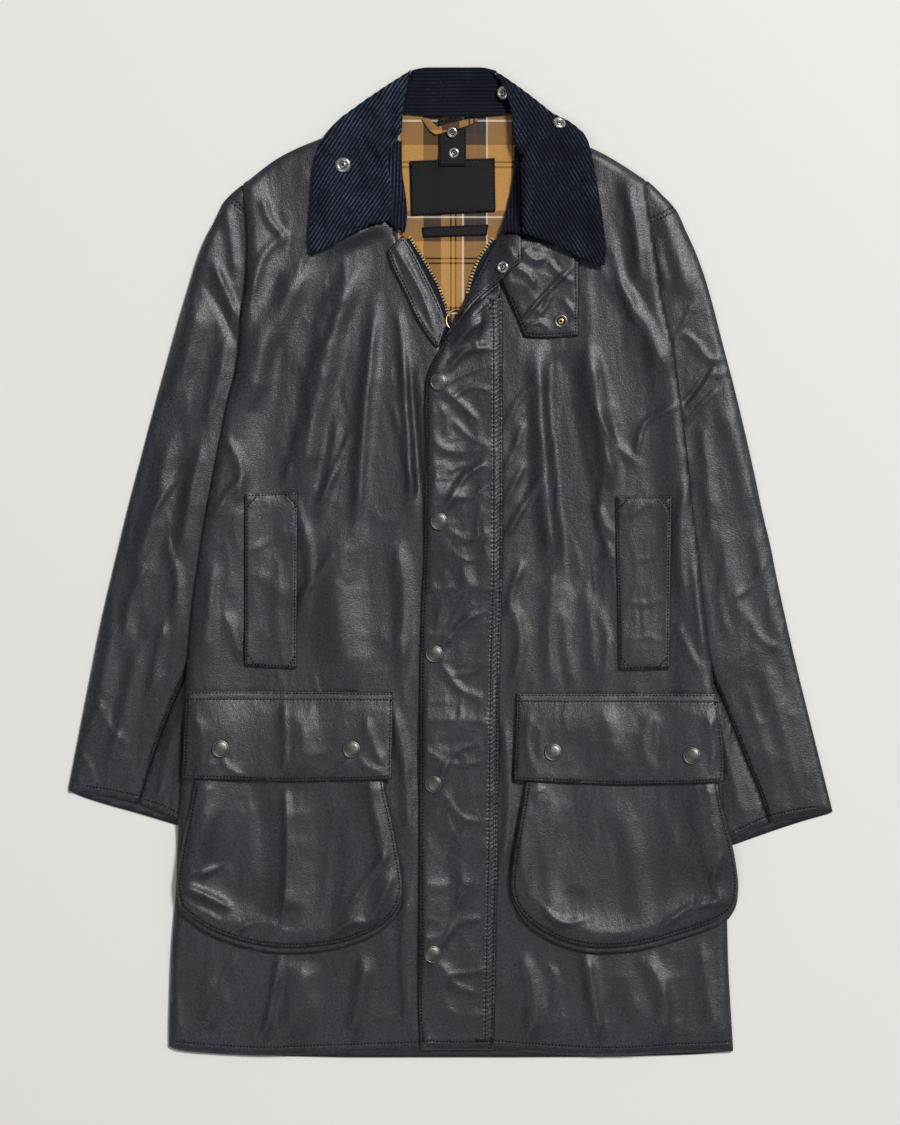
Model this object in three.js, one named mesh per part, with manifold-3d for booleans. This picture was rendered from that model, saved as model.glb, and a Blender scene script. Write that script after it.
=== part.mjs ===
// A thigh-length waxed cotton country jacket with a corduroy collar, laid out flat and face up.
// The wearer's left side is +X, the collar is at +Y, and the surface it lies on is Z = 0.
// Each piece is a thin wall. The pieces are laid on each other in the order of LAYERS, from the
// surface upwards, and each one rests on whatever lies below it.

import * as THREE from "three";
import { mergeVertices } from "three/addons/utils/BufferGeometryUtils.js";
import Module from "manifold-3d";

const wasm = await Module();
wasm.setup();

// Driving dimensions, in mm
const SHELL = 1.4; // waxed cotton, with the backing sewn to it
const DOUBLE = 2.2; // two plies sewn together, on flaps, facings and the storm fly
const CORD = 2.2; // collar cloth, without its ribs
const THIN = 1.0; // lining, labels, tape and webbing
const GUSSET = 4.2; // bellows cloth folded on itself
const GAP = 0.4; // space between one piece and the next
const WALE = { pitch: 3.5, height: 0.9, step: 20 };
const SHEET_MIDDLE = { across: 450.5, down: 562.5 }; // outlines are measured from the sheet's top left
const CELL = { x: 18, y: 25 }; // facets of the cloth
const REACH = { x: 391, y: 506 }; // half of the area that the facets cover
const STUD = { radius: 8.8, height: 3.4 };
const RING_HEIGHT = 1.5; // rings and small studs of the other press-stud halves
const PULL = { radius: 10.8, wire: 0.8, droop: 0.1 }; // the ring leans down to the lining by droop, in radians
const BRIDGE = { inner: 5.2, bar: 1, height: 3.6, width: 2 }; // arch on the zip's slider
const TRIM = 0.03; // facets that differ by less than this are joined into one

// Look of each material: colour, roughness, metalness
const LOOK = {
  waxed: { color: 0x2e3036, roughness: 0.5, metalness: 0 },
  corduroy: { color: 0x1c2436, roughness: 0.95, metalness: 0 },
  lining: { color: 0xc9985c, roughness: 0.9, metalness: 0 },
  label: { color: 0x1d1d20, roughness: 0.8, metalness: 0 },
  webbing: { color: 0x17181b, roughness: 0.85, metalness: 0 },
  tape: { color: 0x1b2333, roughness: 0.85, metalness: 0 },
  gunmetal: { color: 0x55564f, roughness: 0.35, metalness: 1 },
  nickel: { color: 0xc9cacb, roughness: 0.25, metalness: 1 },
  brass: { color: 0xb59a5b, roughness: 0.3, metalness: 1 },
};

// Outlines of the body. Every point is [across, down] in mm from the sheet's top left corner.
const RIGHT_SIDE = [
  [317, 140], [282.4, 155.3], [263.3, 168.7], [244.2, 185], [245, 205], [248.4, 240], [247, 280],
  [241, 325], [238.4, 368], [229, 398], [221, 441], [211, 492], [205, 523], [199, 564], [192.7, 604.5],
  [189.6, 645], [185.5, 686], [183, 779], [178.8, 820], [175.7, 903], [171.8, 948], [170, 1000],
  [169.3, 1046],
];
const LEFT_SIDE = [
  [590.6, 147.7], [619, 163], [645, 181], [648, 207], [651.8, 232], [656, 264], [661.4, 297],
  [667, 324], [673, 346.6], [676.5, 372], [681.5, 408], [687.8, 461.6], [691.8, 502], [697, 543],
  [702, 594], [708, 645], [712, 676], [717, 720], [722, 780], [725, 840], [727, 914], [728, 970],
  [733, 1050.7],
];
const RIGHT_HEM = [[179, 1050], [208, 1052.7], [255.7, 1055.5], [351, 1053], [419, 1050.8], [452, 1050]];
const LEFT_HEM = [[675.5, 1052.3], [629.6, 1054.6], [606.6, 1056], [560.7, 1054], [496.4, 1049.6], [455, 1049.4]];
const RIGHT_NECK = [[452, 366], [437, 342], [430, 322], [416, 286], [402, 254], [392, 230], [387, 195], [388, 150], [392, 126], [360, 127]];
const LEFT_NECK = [[455, 366], [457, 338], [466, 316], [480, 286], [496, 256], [508, 238], [520, 200], [520, 150], [512, 126], [545, 130]];
const FOLD_BACK = 1.5; // the front wraps round the side by this much more than the back

// Outlines of the sleeves
const RIGHT_SLEEVE_OUTER = [
  [243, 190], [230.8, 199], [215.5, 220], [202, 245], [190.6, 283.5], [177, 327.5], [162.5, 380],
  [154, 410.6], [141.6, 457.6], [127.3, 512.7], [115, 563.7], [103, 614.7], [94.7, 655.5], [86.5, 698],
  [74.3, 760.7], [68.5, 790.8],
];
const RIGHT_SLEEVE_INNER = [[214, 836], [219, 780], [238, 600], [243, 520], [252, 400], [256, 330], [262, 260], [258, 205]];
const RIGHT_SLEEVE_SEAM = [[139.4, 803.6], [144, 787.5], [156.4, 748], [167, 719.6], [178.8, 691], [200, 648], [241, 560]];
const RIGHT_CUFF = [[86.8, 794], [104.6, 795.7], [122.5, 799.3]];
const RIGHT_CUFF_INNER = [[158.2, 811], [178, 820.7]];
const RIGHT_CUFF_UNDER = [[82, 796.5], [104.6, 803.8], [140.4, 813.6], [178, 825]];
const LEFT_SLEEVE_OUTER = [
  [645.5, 183], [661.4, 193.6], [674.8, 210.8], [686.3, 232], [699.7, 262.4], [711, 299], [724.5, 352.4],
  [732.5, 382], [743, 425], [755, 478], [763.3, 519], [769.4, 541], [775.5, 574], [785.7, 621],
  [796, 666], [809.6, 720.6], [821.7, 769], [832.5, 812.4],
];
const LEFT_SLEEVE_INNER = [[694, 854], [690, 780], [682, 600], [668, 410], [655, 340], [645, 270], [636, 207]];
const LEFT_SLEEVE_SEAM = [[768.9, 822.9], [761.2, 798], [753.6, 779], [746.6, 764], [729.6, 718], [714, 684], [700, 655], [683, 610]];
const LEFT_CUFF = [[814.8, 814.5], [795.7, 817.4], [781.3, 820.3]];
const LEFT_CUFF_INNER = [[757.4, 828], [732.5, 840]];
const LEFT_CUFF_UNDER = [[820, 816], [810, 818.6], [786, 826], [747.8, 839.4], [733, 845]];

// Outlines of what is sewn on the body
const FLY = [
  [440.5, 349], [445, 341], [459, 322.5], [479, 301.3], [499, 285.5], [502.5, 296], [503, 560], [499.8, 660],
  [497.6, 860], [494, 1049], [420.7, 1048.4], [418.4, 1004], [419.5, 935], [419, 819], [420, 676],
  [421.5, 610], [424, 559], [425.7, 449], [425, 393], [427.4, 371.3],
];
const FACING_LEFT = [
  [499.6, 233.4], [492.5, 247], [484, 264], [476, 279], [469, 293], [461, 307], [454, 318], [447.5, 329.5],
  [439, 351], [444, 340], [457.7, 321], [478, 299.6], [501, 281.6], [510.5, 271], [521, 264], [521, 226], [506, 226],
];
const FACING_RIGHT = [
  [387.6, 251.7], [403, 236], [410, 245], [420, 264], [431, 286], [442.5, 309], [446.6, 327], [437.6, 349],
  [430, 340.5], [420, 325], [411, 306], [402, 286], [390, 264],
];
const THROAT_TAB = [[500.8, 281], [524.6, 337.2], [542, 339], [578.2, 336], [578.6, 240], [512, 236], [504, 262]];
const RIGHT_WELT = [[246.3, 494.3], [297.8, 492.2], [296.7, 668.8], [245.7, 665.7]];
const LEFT_WELT = [[615.3, 496.3], [670.4, 496.3], [668.4, 668.8], [618.4, 669.8]];
const RIGHT_FLAP = [[187.5, 689.6], [393.5, 691.4], [392.2, 778.2], [290, 780.6], [183.5, 776.4]];
const LEFT_FLAP = [[516.4, 692.7], [715, 692.7], [722.5, 745], [722, 780.7], [618, 784], [513.9, 778.8]];
const POCKET_TOP = 716; // the pocket's mouth, under its flap
const RIGHT_POCKET = [
  [383.6, POCKET_TOP], [383.6, 780], [392.7, 817], [400, 856], [403.7, 882], [402, 900.6], [390, 919],
  [364, 934.6], [327.4, 944.5], [291, 947], [257, 943.7], [225.4, 934.6], [199, 921.5], [181, 906],
  [177, 887.5], [178, 869], [183.5, 843], [191.4, 806], [196, 780], [196, POCKET_TOP],
];
const LEFT_POCKET = [
  [526, POCKET_TOP], [526, 781], [520, 815], [511.5, 861], [509.6, 885], [514, 902], [526, 919], [552.7, 936],
  [577, 944], [608.5, 947], [649.7, 942], [686, 930], [722.4, 918], [734.5, 905], [738.4, 888],
  [735.7, 866], [731, 842], [722.4, 810], [716.3, 781], [716.3, POCKET_TOP],
];
const BELLOWS = { width: 17, drop: 6 }; // the bellows strip, and how far it shows below the pocket

// Outlines of the collar and of what shows inside the neck
const COLLAR_FALL = [[418, 69.5], [489, 69.5], [513, 86.5], [534, 102.5], [545, 125], [525, 143], [452, 150], [380, 143], [352, 125], [362, 107], [382, 92.5]];
const COLLAR_BAND = [[416, 68], [491, 68], [501, 86], [516, 114], [498, 117], [462.5, 118.3], [437.5, 118.3], [425, 117], [397, 114], [405, 86]];
const RIGHT_LEAF = [
  [411, 71.5], [376.5, 93], [339.5, 120], [324, 137], [316, 157], [313, 179], [310, 238.6], [312, 249],
  [316.6, 253], [332, 247.5], [351, 237], [371, 226], [387, 223], [393, 213], [391.5, 187.5], [388, 168],
  [388, 152], [402, 150], [402, 136.5], [403, 113.6], [407, 85.5],
];
const LEFT_LEAF = [
  [496, 72.5], [516.7, 86.7], [533.5, 99], [553, 115], [568.6, 122], [582.6, 133], [589, 145], [594, 171],
  [601, 211.5], [606, 252], [602, 265], [594, 265.6], [577, 258.5], [560, 250], [543, 242], [522, 235.4],
  [521.6, 200], [519.5, 158], [513.5, 156], [513, 130], [509.6, 106], [502.6, 85],
];
const RIGHT_STAND = [[378, 142], [402, 142], [402, 175], [406, 195], [408, 219], [404.6, 234], [389, 224], [380, 212]];
const LEFT_STAND = [[514, 148], [532, 148], [534, 226], [521.6, 236], [507, 233], [500, 234.7], [508, 203], [512.5, 182], [514.5, 158]];
const LINING = [[398, 112], [518, 112], [526, 200], [512, 240], [474, 318], [462, 350], [442, 350], [400, 260], [390, 225], [393, 150]];
const MAIN_LABEL = [[409.4, 161.6], [494.6, 159], [495.5, 212.5], [411, 216.5]];
const SMALL_LABEL = [[422, 227.7], [488.4, 225], [487, 236], [423, 238]];
const HOOD_TAB = [[438.4, 120.5], [466, 120.5], [466, 167], [439, 167]];
const HANGER_LOOP = [[421.5, 119.5], [429, 119.5], [437, 128.3], [466, 120.4], [477.5, 119.5], [477.5, 122], [467.5, 127.8], [436, 136], [429, 132]];
const RIGHT_TAPE = [[411, 238], [422, 255], [431, 270], [438, 282.5], [443.5, 296], [447, 305.7], [449.8, 318], [452.4, 334], [453, 356], [444, 356], [436, 322], [426, 296], [412, 268], [399, 246]];
const LEFT_TAPE = [[491.5, 239.6], [483.5, 250.4], [476.3, 262], [472, 272.7], [469, 282.5], [467.6, 291.4], [462, 306], [456, 322], [454, 335], [454, 356], [464, 356], [472, 316], [485, 282], [494, 262], [504, 243]];

// Main folds of the cloth: the crest from one point to another, its full width and its height
const FOLD_COLUMNS = ["x0", "y0", "x1", "y1", "width", "height"];
const RIGHT_FRONT_FOLDS = [
  [358, 262, 336, 330, 44, 3.2], [336, 330, 313, 420, 48, 3.8], [313, 420, 298, 500, 44, 3.0],
  [376, 300, 366, 430, 40, 3.0], [366, 430, 340, 560, 44, 2.4], [340, 560, 352, 680, 44, 1.6],
  [305, 264, 267, 341, 44, 2.8], [267, 341, 252, 408, 40, 2.2], [262, 200, 285, 250, 36, 1.8],
  [408, 380, 410, 470, 34, 2.2], [228, 440, 240, 500, 34, 1.8], [215, 560, 212, 660, 36, 1.6],
  [272, 965, 267, 1045, 40, 2.4], [330, 960, 350, 1040, 44, 2.0], [392, 700, 400, 760, 34, 1.8],
  [196, 960, 210, 1040, 40, 1.8],
];
const LEFT_FRONT_FOLDS = [
  [536, 350, 543, 457, 44, 3.6], [543, 457, 553, 575, 44, 3.4], [553, 575, 548, 680, 40, 2.0],
  [590, 345, 600, 421, 44, 3.2], [600, 421, 612, 490, 40, 3.0], [611, 275, 660, 366, 44, 2.4],
  [560, 180, 600, 200, 30, 1.0], [625, 190, 640, 280, 40, 2.0], [640, 455, 674, 408, 36, 2.2],
  [520, 470, 530, 400, 34, 2.0], [518, 620, 516, 680, 34, 1.6], [584, 950, 600, 1030, 44, 2.4],
  [520, 950, 530, 1040, 44, 2.0], [660, 955, 690, 1040, 44, 2.0], [690, 560, 696, 660, 36, 1.4],
];
const RIGHT_SLEEVE_FOLDS = [
  [214, 268, 238, 322, 34, 2.6], [196, 300, 165, 420, 44, 3.0], [170, 440, 128, 580, 44, 2.6],
  [190, 520, 160, 640, 44, 2.2], [120, 600, 96, 740, 40, 2.4], [130, 680, 112, 780, 40, 1.8],
  [176, 590, 158, 700, 36, 1.8],
];
const LEFT_SLEEVE_FOLDS = [
  [676, 300, 672, 352, 36, 2.8], [674, 340, 714, 364, 34, 3.4], [688, 410, 722, 366, 36, 3.6],
  [700, 430, 722, 560, 44, 2.6], [735, 420, 752, 520, 40, 2.2], [740, 560, 772, 690, 44, 2.6],
  [712, 560, 726, 660, 40, 1.8], [780, 690, 800, 790, 40, 2.0], [730, 700, 768, 800, 30, 1.0],
];
const RIGHT_POCKET_FOLDS = [
  [286, 720, 286, 905, 40, 2.0], [340, 790, 356, 900, 40, 1.6], [186, 885, 232, 908, 30, 1.6],
  [225, 800, 212, 880, 36, 1.4],
];
const LEFT_POCKET_FOLDS = [
  [560, 800, 552, 905, 40, 1.8], [620, 790, 640, 900, 40, 1.6], [690, 800, 712, 880, 36, 1.6],
];
const FLY_FOLDS = [
  [445, 400, 485, 380, 34, 1.6], [446, 430, 484, 455, 34, 1.4], [450, 560, 484, 520, 34, 1.2],
  [455, 700, 482, 720, 34, 1.2], [458, 880, 482, 860, 34, 1.2],
];
const RIGHT_ROLL = [[404, 78, 400, 132, 34, 5], [388, 160, 391, 215, 34, 4.5]];
const LEFT_ROLL = [[500, 78, 513, 132, 34, 5], [519, 150, 521, 228, 34, 4.5]];
const TAB_FOLDS = [[524, 322, 560, 280, 34, 1.6], [556, 262, 566, 300, 30, 1.4]];
const RING_ROOM = [[452, 330, 466, 310, 64, 10]]; // the storm fly's turned edge stands over the zip's pull
const LOOP_ROOM = [[452, 118, 452, 130, 60, 2.4]]; // the hanger loop stands over the webbing's press stud
const COLLAR_ROOM = [[503, 90, 506, 98, 60, 3.0]]; // the collar stands over the ring inside it

// Hard pieces on the cloth: [across, down]
const FLY_STUDS = [[438.8, 382.6], [439.1, 521.7], [434.3, 653.5], [433.5, 783.2], [432.8, 952.5]];
const FLAP_STUDS = {
  snap_flap_right_outer: [222.2, 747.6],
  snap_flap_right_inner: [352, 748.4],
  snap_flap_left_inner: [552.5, 751.4],
  snap_flap_left_outer: [690, 754.5],
};
const RINGS = {
  ring_collar_right: { place: [343.6, 166.9], on: "collar_leaf_right", radius: 7.4 },
  ring_collar_left: { place: [558.8, 124.6], on: "collar_leaf_left", radius: 6.2 },
  ring_collar_inside: { place: [502.4, 94.7], on: "collar_band_back", radius: 6.2 },
  ring_facing_left: { place: [502.3, 268.7], on: "facing_left", radius: 5.8 },
  ring_throat_tab: { place: [560.5, 322], on: "throat_tab", radius: 7.2 },
  stud_hood_tab_top: { place: [452.2, 134], on: "hood_tab", radius: 5.2 },
  stud_hood_tab_low: { place: [453.8, 154], on: "hood_tab", radius: 5.2 },
};
const SLIDER = { place: [453.6, 331], turn: -0.33, length: 9, width: 8, height: 2.2 };

// Plane geometry
const onSheet = ([across, down]) => [across - SHEET_MIDDLE.across, SHEET_MIDDLE.down - down];
const reversed = (points) => [...points].reverse();
const moved = (points, across, down = 0) => points.map(([x, y]) => [x + across, y + down]);

function segmentDistance(x, y, [x0, y0], [x1, y1]) {
  const dx = x1 - x0;
  const dy = y1 - y0;
  const along = ((x - x0) * dx + (y - y0) * dy) / (dx * dx + dy * dy);
  const t = Math.min(1, Math.max(0, along));
  return Math.hypot(x - x0 - t * dx, y - y0 - t * dy);
}

// Height that the folds of a piece add at one place, in mm: the highest fold counts.
function foldHeight(folds, x, y) {
  let height = 0;
  for (const row of folds) {
    const fold = Object.fromEntries(FOLD_COLUMNS.map((name, i) => [name, row[i]]));
    const away = segmentDistance(x, y, onSheet([fold.x0, fold.y0]), onSheet([fold.x1, fold.y1]));
    const share = Math.max(0, 1 - (2 * away) / fold.width);
    height = Math.max(height, fold.height * share * share * (3 - 2 * share));
  }
  return height;
}

function insideOutline(outline, x, y) {
  let inside = false;
  outline.forEach(([x0, y0], i) => {
    const [x1, y1] = outline[(i + 1) % outline.length];
    const crosses = y0 > y !== y1 > y && x < ((x1 - x0) * (y - y0)) / (y1 - y0) + x0;
    if (crosses) inside = !inside;
  });
  return inside;
}

// Facets: one grid of corners that every piece shares, so stacked pieces never cut each other
const COLUMNS = Math.ceil((2 * REACH.x) / CELL.x);
const ROWS = Math.ceil((2 * REACH.y) / CELL.y);
const cornerX = (i) => -REACH.x + i * CELL.x;
const cornerY = (j) => -REACH.y + j * CELL.y;
const corner = (i, j) => j * (COLUMNS + 1) + i;

// Height of a grid of corners at any place, on the facet that covers it.
function levelAt(grid, x, y) {
  const across = (x + REACH.x) / CELL.x;
  const up = (y + REACH.y) / CELL.y;
  const i = Math.min(COLUMNS - 1, Math.max(0, Math.floor(across)));
  const j = Math.min(ROWS - 1, Math.max(0, Math.floor(up)));
  const u = across - i;
  const v = up - j;
  const [a, b] = [grid[corner(i, j)], grid[corner(i + 1, j + 1)]];
  if (u > v) return a + (grid[corner(i + 1, j)] - a) * (u - v) + (b - a) * v;
  return a + (grid[corner(i, j + 1)] - a) * (v - u) + (b - a) * u;
}

// Corners of every facet that an outline reaches.
function touchedCorners(outline) {
  const touched = new Set();
  const mark = (x, y) => {
    const i = Math.floor((x + REACH.x) / CELL.x);
    const j = Math.floor((y + REACH.y) / CELL.y);
    [corner(i, j), corner(i + 1, j), corner(i, j + 1), corner(i + 1, j + 1)].forEach((c) => touched.add(c));
  };
  const step = 3;
  outline.forEach(([x0, y0], i) => {
    const [x1, y1] = outline[(i + 1) % outline.length];
    const count = Math.ceil(Math.hypot(x1 - x0, y1 - y0) / step);
    for (let k = 0; k <= count; k++) mark(x0 + ((x1 - x0) * k) / count, y0 + ((y1 - y0) * k) / count);
  });
  for (let i = 0; i < COLUMNS; i++)
    for (let j = 0; j < ROWS; j++)
      if (insideOutline(outline, cornerX(i + 0.5), cornerY(j + 0.5))) mark(cornerX(i + 0.5), cornerY(j + 0.5));
  return touched;
}

// Solids
const DEEP = -30; // below and above every piece, where the blocks that cut it end
const HIGH = 80;

function solidOf(geometry) {
  geometry.deleteAttribute("normal");
  geometry.deleteAttribute("uv");
  const merged = mergeVertices(geometry, 1e-5);
  return new wasm.Manifold(
    new wasm.Mesh({
      numProp: 3,
      vertProperties: merged.attributes.position.array,
      triVerts: new Uint32Array(merged.index.array),
    }),
  );
}

// A block of the grid's facets, with a top and a bottom given as functions of the corner.
function block(columns, rows, place, low, high) {
  const [width, depth] = [columns[1] - columns[0], rows[1] - rows[0]];
  const points = [];
  const faces = [];
  for (const height of [low, high])
    for (let j = 0; j <= depth; j++)
      for (let i = 0; i <= width; i++) {
        const [x, y] = place(columns[0] + i, rows[0] + j);
        points.push(x, y, height(columns[0] + i, rows[0] + j));
      }
  const at = (i, j, top) => (top ? (width + 1) * (depth + 1) : 0) + j * (width + 1) + i;
  const wall = (a, b) => faces.push(at(...a, 0), at(...b, 0), at(...b, 1), at(...a, 0), at(...b, 1), at(...a, 1));
  for (let j = 0; j < depth; j++)
    for (let i = 0; i < width; i++) {
      faces.push(at(i, j, 0), at(i + 1, j + 1, 0), at(i + 1, j, 0), at(i, j, 0), at(i, j + 1, 0), at(i + 1, j + 1, 0));
      faces.push(at(i, j, 1), at(i + 1, j, 1), at(i + 1, j + 1, 1), at(i, j, 1), at(i + 1, j + 1, 1), at(i, j + 1, 1));
    }
  for (let i = 0; i < width; i++) {
    wall([i, 0], [i + 1, 0]);
    wall([i + 1, depth], [i, depth]);
  }
  for (let j = 0; j < depth; j++) {
    wall([width, j], [width, j + 1]);
    wall([0, j + 1], [0, j]);
  }
  return new wasm.Manifold(
    new wasm.Mesh({ numProp: 3, vertProperties: new Float32Array(points), triVerts: new Uint32Array(faces) }),
  );
}

function prism(outline) {
  const shape = new THREE.Shape(outline.map(([x, y]) => new THREE.Vector2(x, y)));
  const geometry = new THREE.ExtrudeGeometry(shape, { depth: HIGH - DEEP - 2, bevelEnabled: false });
  geometry.translate(0, 0, DEEP + 1);
  return solidOf(geometry);
}

// The shared facets between two heights, over the area of an outline.
function sheetBlock(outline, low, high) {
  const range = (values, reach, cell) => [
    Math.max(0, Math.floor((Math.min(...values) + reach) / cell) - 1),
    Math.ceil((Math.max(...values) + reach) / cell) + 1,
  ];
  const columns = range(outline.map((p) => p[0]), REACH.x, CELL.x).map((i) => Math.min(i, COLUMNS));
  const rows = range(outline.map((p) => p[1]), REACH.y, CELL.y).map((j) => Math.min(j, ROWS));
  return block(columns, rows, (i, j) => [cornerX(i), cornerY(j)], low, high);
}

// Ribs of corduroy: a grid turned along the ribs, with every second row of corners raised.
function ribbedBlock(outline, top, degrees) {
  const turn = THREE.MathUtils.degToRad(degrees);
  const [c, s] = [Math.cos(turn), Math.sin(turn)];
  const along = outline.map(([x, y]) => x * c + y * s);
  const across = outline.map(([x, y]) => y * c - x * s);
  const half = WALE.pitch / 2;
  const range = (values, step) => [Math.floor(Math.min(...values) / step) - 1, Math.ceil(Math.max(...values) / step) + 1];
  const place = (i, j) => [i * WALE.step * c - j * half * s, i * WALE.step * s + j * half * c];
  const rib = (i, j) => levelAt(top, ...place(i, j)) + (j % 2 === 0 ? WALE.height : 0);
  return block(range(along, WALE.step), range(across, half), place, () => DEEP, rib);
}

// The garment
const garment = new THREE.Group();
const rest = new Float64Array((COLUMNS + 1) * (ROWS + 1)).fill(-GAP); // the highest cloth so far
const laid = {}; // the top of each piece, kept for what is fastened to it

function addMesh(name, geometry, look, parent = garment) {
  const mesh = new THREE.Mesh(geometry, new THREE.MeshStandardMaterial(LOOK[look]));
  mesh.name = name;
  parent.add(mesh);
  return mesh;
}

function addSolid(name, solid, look, parent = garment) {
  const mesh = solid.getMesh();
  const geometry = new THREE.BufferGeometry();
  geometry.setAttribute("position", new THREE.BufferAttribute(mesh.vertProperties, 3));
  geometry.setIndex(new THREE.BufferAttribute(mesh.triVerts, 1));
  return addMesh(name, geometry, look, parent);
}

// Lays the pieces of one layer side by side on whatever is below them.
function layTogether(pieces) {
  const settled = pieces.map((piece) => {
    const outline = piece.outline.map(onSheet);
    const under = rest.map((z, c) => {
      const x = cornerX(c % (COLUMNS + 1));
      const y = cornerY(Math.floor(c / (COLUMNS + 1)));
      return z + GAP + foldHeight(piece.folds ?? [], x, y);
    });
    const top = under.map((z) => z + piece.wall);
    let solid = sheetBlock(outline, (i, j) => under[corner(i, j)], piece.ribs === undefined ? (i, j) => top[corner(i, j)] : () => HIGH);
    if (piece.ribs !== undefined) solid = solid.intersect(ribbedBlock(outline, top, piece.ribs));
    addSolid(piece.name, solid.intersect(prism(outline)).simplify(TRIM), piece.look);
    laid[piece.name] = top;
    return { top: piece.ribs === undefined ? top : top.map((z) => z + WALE.height), touched: touchedCorners(outline) };
  });
  for (const { top, touched } of settled) for (const c of touched) rest[c] = Math.max(rest[c], top[c]);
}

// The bellows strip runs down both sides of a pocket and round its bottom, and shows below it.
function bellowsOutline(pocket) {
  const outer = moved(pocket, 0, BELLOWS.drop).filter(([, down]) => down > POCKET_TOP + BELLOWS.drop + 1);
  const middle = pocket.reduce((sum, [across]) => sum + across, 0) / pocket.length;
  const inner = outer.map(([across, down]) => {
    const pull = 1 - (2 * BELLOWS.width) / 200;
    const top = 782;
    return [middle + (across - middle) * pull, down <= top + BELLOWS.drop ? down : top + (down - top) * 0.86];
  });
  return [...outer, ...reversed(inner)];
}

const backOutline = [
  [425, 118.6], [478, 118.6], [512, 116], ...moved(LEFT_SIDE, -FOLD_BACK), [700, 1054], [610, 1056.6],
  [545, 1057], [350, 1057], [250, 1055], [176, 1048.6], ...reversed(moved(RIGHT_SIDE, FOLD_BACK)), [392, 116],
];
const waxed = (name, outline, folds = [], wall = SHELL) => ({ name, outline, folds, wall, look: "waxed" });
const corduroy = (name, outline, ribs, folds = []) => ({ name, outline, folds, ribs, wall: CORD, look: "corduroy" });
const thin = (name, outline, look, folds = []) => ({ name, outline, folds, look, wall: THIN });

const sleeveTop = (outer, cuff, seam, inner) => [...outer, ...cuff, ...seam, ...inner];
const SEAM_GAP = 0.5;
const LAYERS = [
  [
    corduroy("collar_fall_back", COLLAR_FALL),
    waxed("sleeve_under_right", [...moved(RIGHT_SLEEVE_OUTER, 1), ...RIGHT_CUFF_UNDER, ...RIGHT_SLEEVE_INNER]),
    waxed("sleeve_under_left", [...moved(LEFT_SLEEVE_OUTER, -1), ...LEFT_CUFF_UNDER, ...LEFT_SLEEVE_INNER]),
  ],
  [
    waxed(
      "sleeve_top_right",
      sleeveTop(RIGHT_SLEEVE_OUTER, RIGHT_CUFF, moved(RIGHT_SLEEVE_SEAM, -SEAM_GAP), RIGHT_SLEEVE_INNER.slice(3)),
      RIGHT_SLEEVE_FOLDS,
    ),
    waxed(
      "sleeve_inner_right",
      [...RIGHT_SLEEVE_SEAM, ...reversed(RIGHT_SLEEVE_INNER.slice(0, 3)), ...reversed(RIGHT_CUFF_INNER)],
      RIGHT_SLEEVE_FOLDS,
    ),
    waxed(
      "sleeve_top_left",
      sleeveTop(LEFT_SLEEVE_OUTER, LEFT_CUFF, moved(LEFT_SLEEVE_SEAM, SEAM_GAP), LEFT_SLEEVE_INNER.slice(3)),
      LEFT_SLEEVE_FOLDS,
    ),
    waxed(
      "sleeve_inner_left",
      [...LEFT_SLEEVE_SEAM, ...reversed(LEFT_SLEEVE_INNER.slice(0, 2)), ...reversed(LEFT_CUFF_INNER)],
      LEFT_SLEEVE_FOLDS,
    ),
  ],
  [waxed("back", backOutline)],
  [thin("lining_back", LINING, "lining")],
  [
    thin("label_main", MAIN_LABEL, "label"),
    thin("label_small", SMALL_LABEL, "label"),
    thin("zip_tape_right", RIGHT_TAPE, "tape"),
    thin("zip_tape_left", LEFT_TAPE, "tape"),
  ],
  [thin("hood_tab", HOOD_TAB, "webbing")],
  [thin("hanger_loop", HANGER_LOOP, "lining", LOOP_ROOM)],
  [
    waxed("front_right", [...RIGHT_SIDE, ...RIGHT_HEM, ...RIGHT_NECK], RIGHT_FRONT_FOLDS),
    waxed("front_left", [...LEFT_SIDE, ...LEFT_HEM, ...LEFT_NECK], [...LEFT_FRONT_FOLDS, ...RING_ROOM]),
  ],
  [
    waxed("facing_right", FACING_RIGHT, [], DOUBLE),
    waxed("pocket_gusset_right", bellowsOutline(RIGHT_POCKET), [], GUSSET),
    waxed("pocket_gusset_left", bellowsOutline(LEFT_POCKET), [], GUSSET),
    waxed("handwarmer_right", RIGHT_WELT),
    waxed("handwarmer_left", LEFT_WELT),
    waxed("throat_tab", THROAT_TAB, TAB_FOLDS, DOUBLE),
  ],
  [
    waxed("facing_left", FACING_LEFT, [], DOUBLE),
    waxed("storm_fly", FLY, FLY_FOLDS, DOUBLE),
    waxed("pocket_right", RIGHT_POCKET, RIGHT_POCKET_FOLDS),
    waxed("pocket_left", LEFT_POCKET, LEFT_POCKET_FOLDS),
  ],
  [
    waxed("flap_right", RIGHT_FLAP, [], DOUBLE),
    waxed("flap_left", LEFT_FLAP, [], DOUBLE),
  ],
  [
    corduroy("collar_band_back", COLLAR_BAND, 0),
    corduroy("collar_stand_right", RIGHT_STAND, 90),
    corduroy("collar_stand_left", LEFT_STAND, 90),
  ],
  [
    corduroy("collar_leaf_right", RIGHT_LEAF, 57, RIGHT_ROLL),
    corduroy("collar_leaf_left", LEFT_LEAF, -60, [...LEFT_ROLL, ...COLLAR_ROOM]),
  ],
];
LAYERS.forEach(layTogether);

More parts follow.
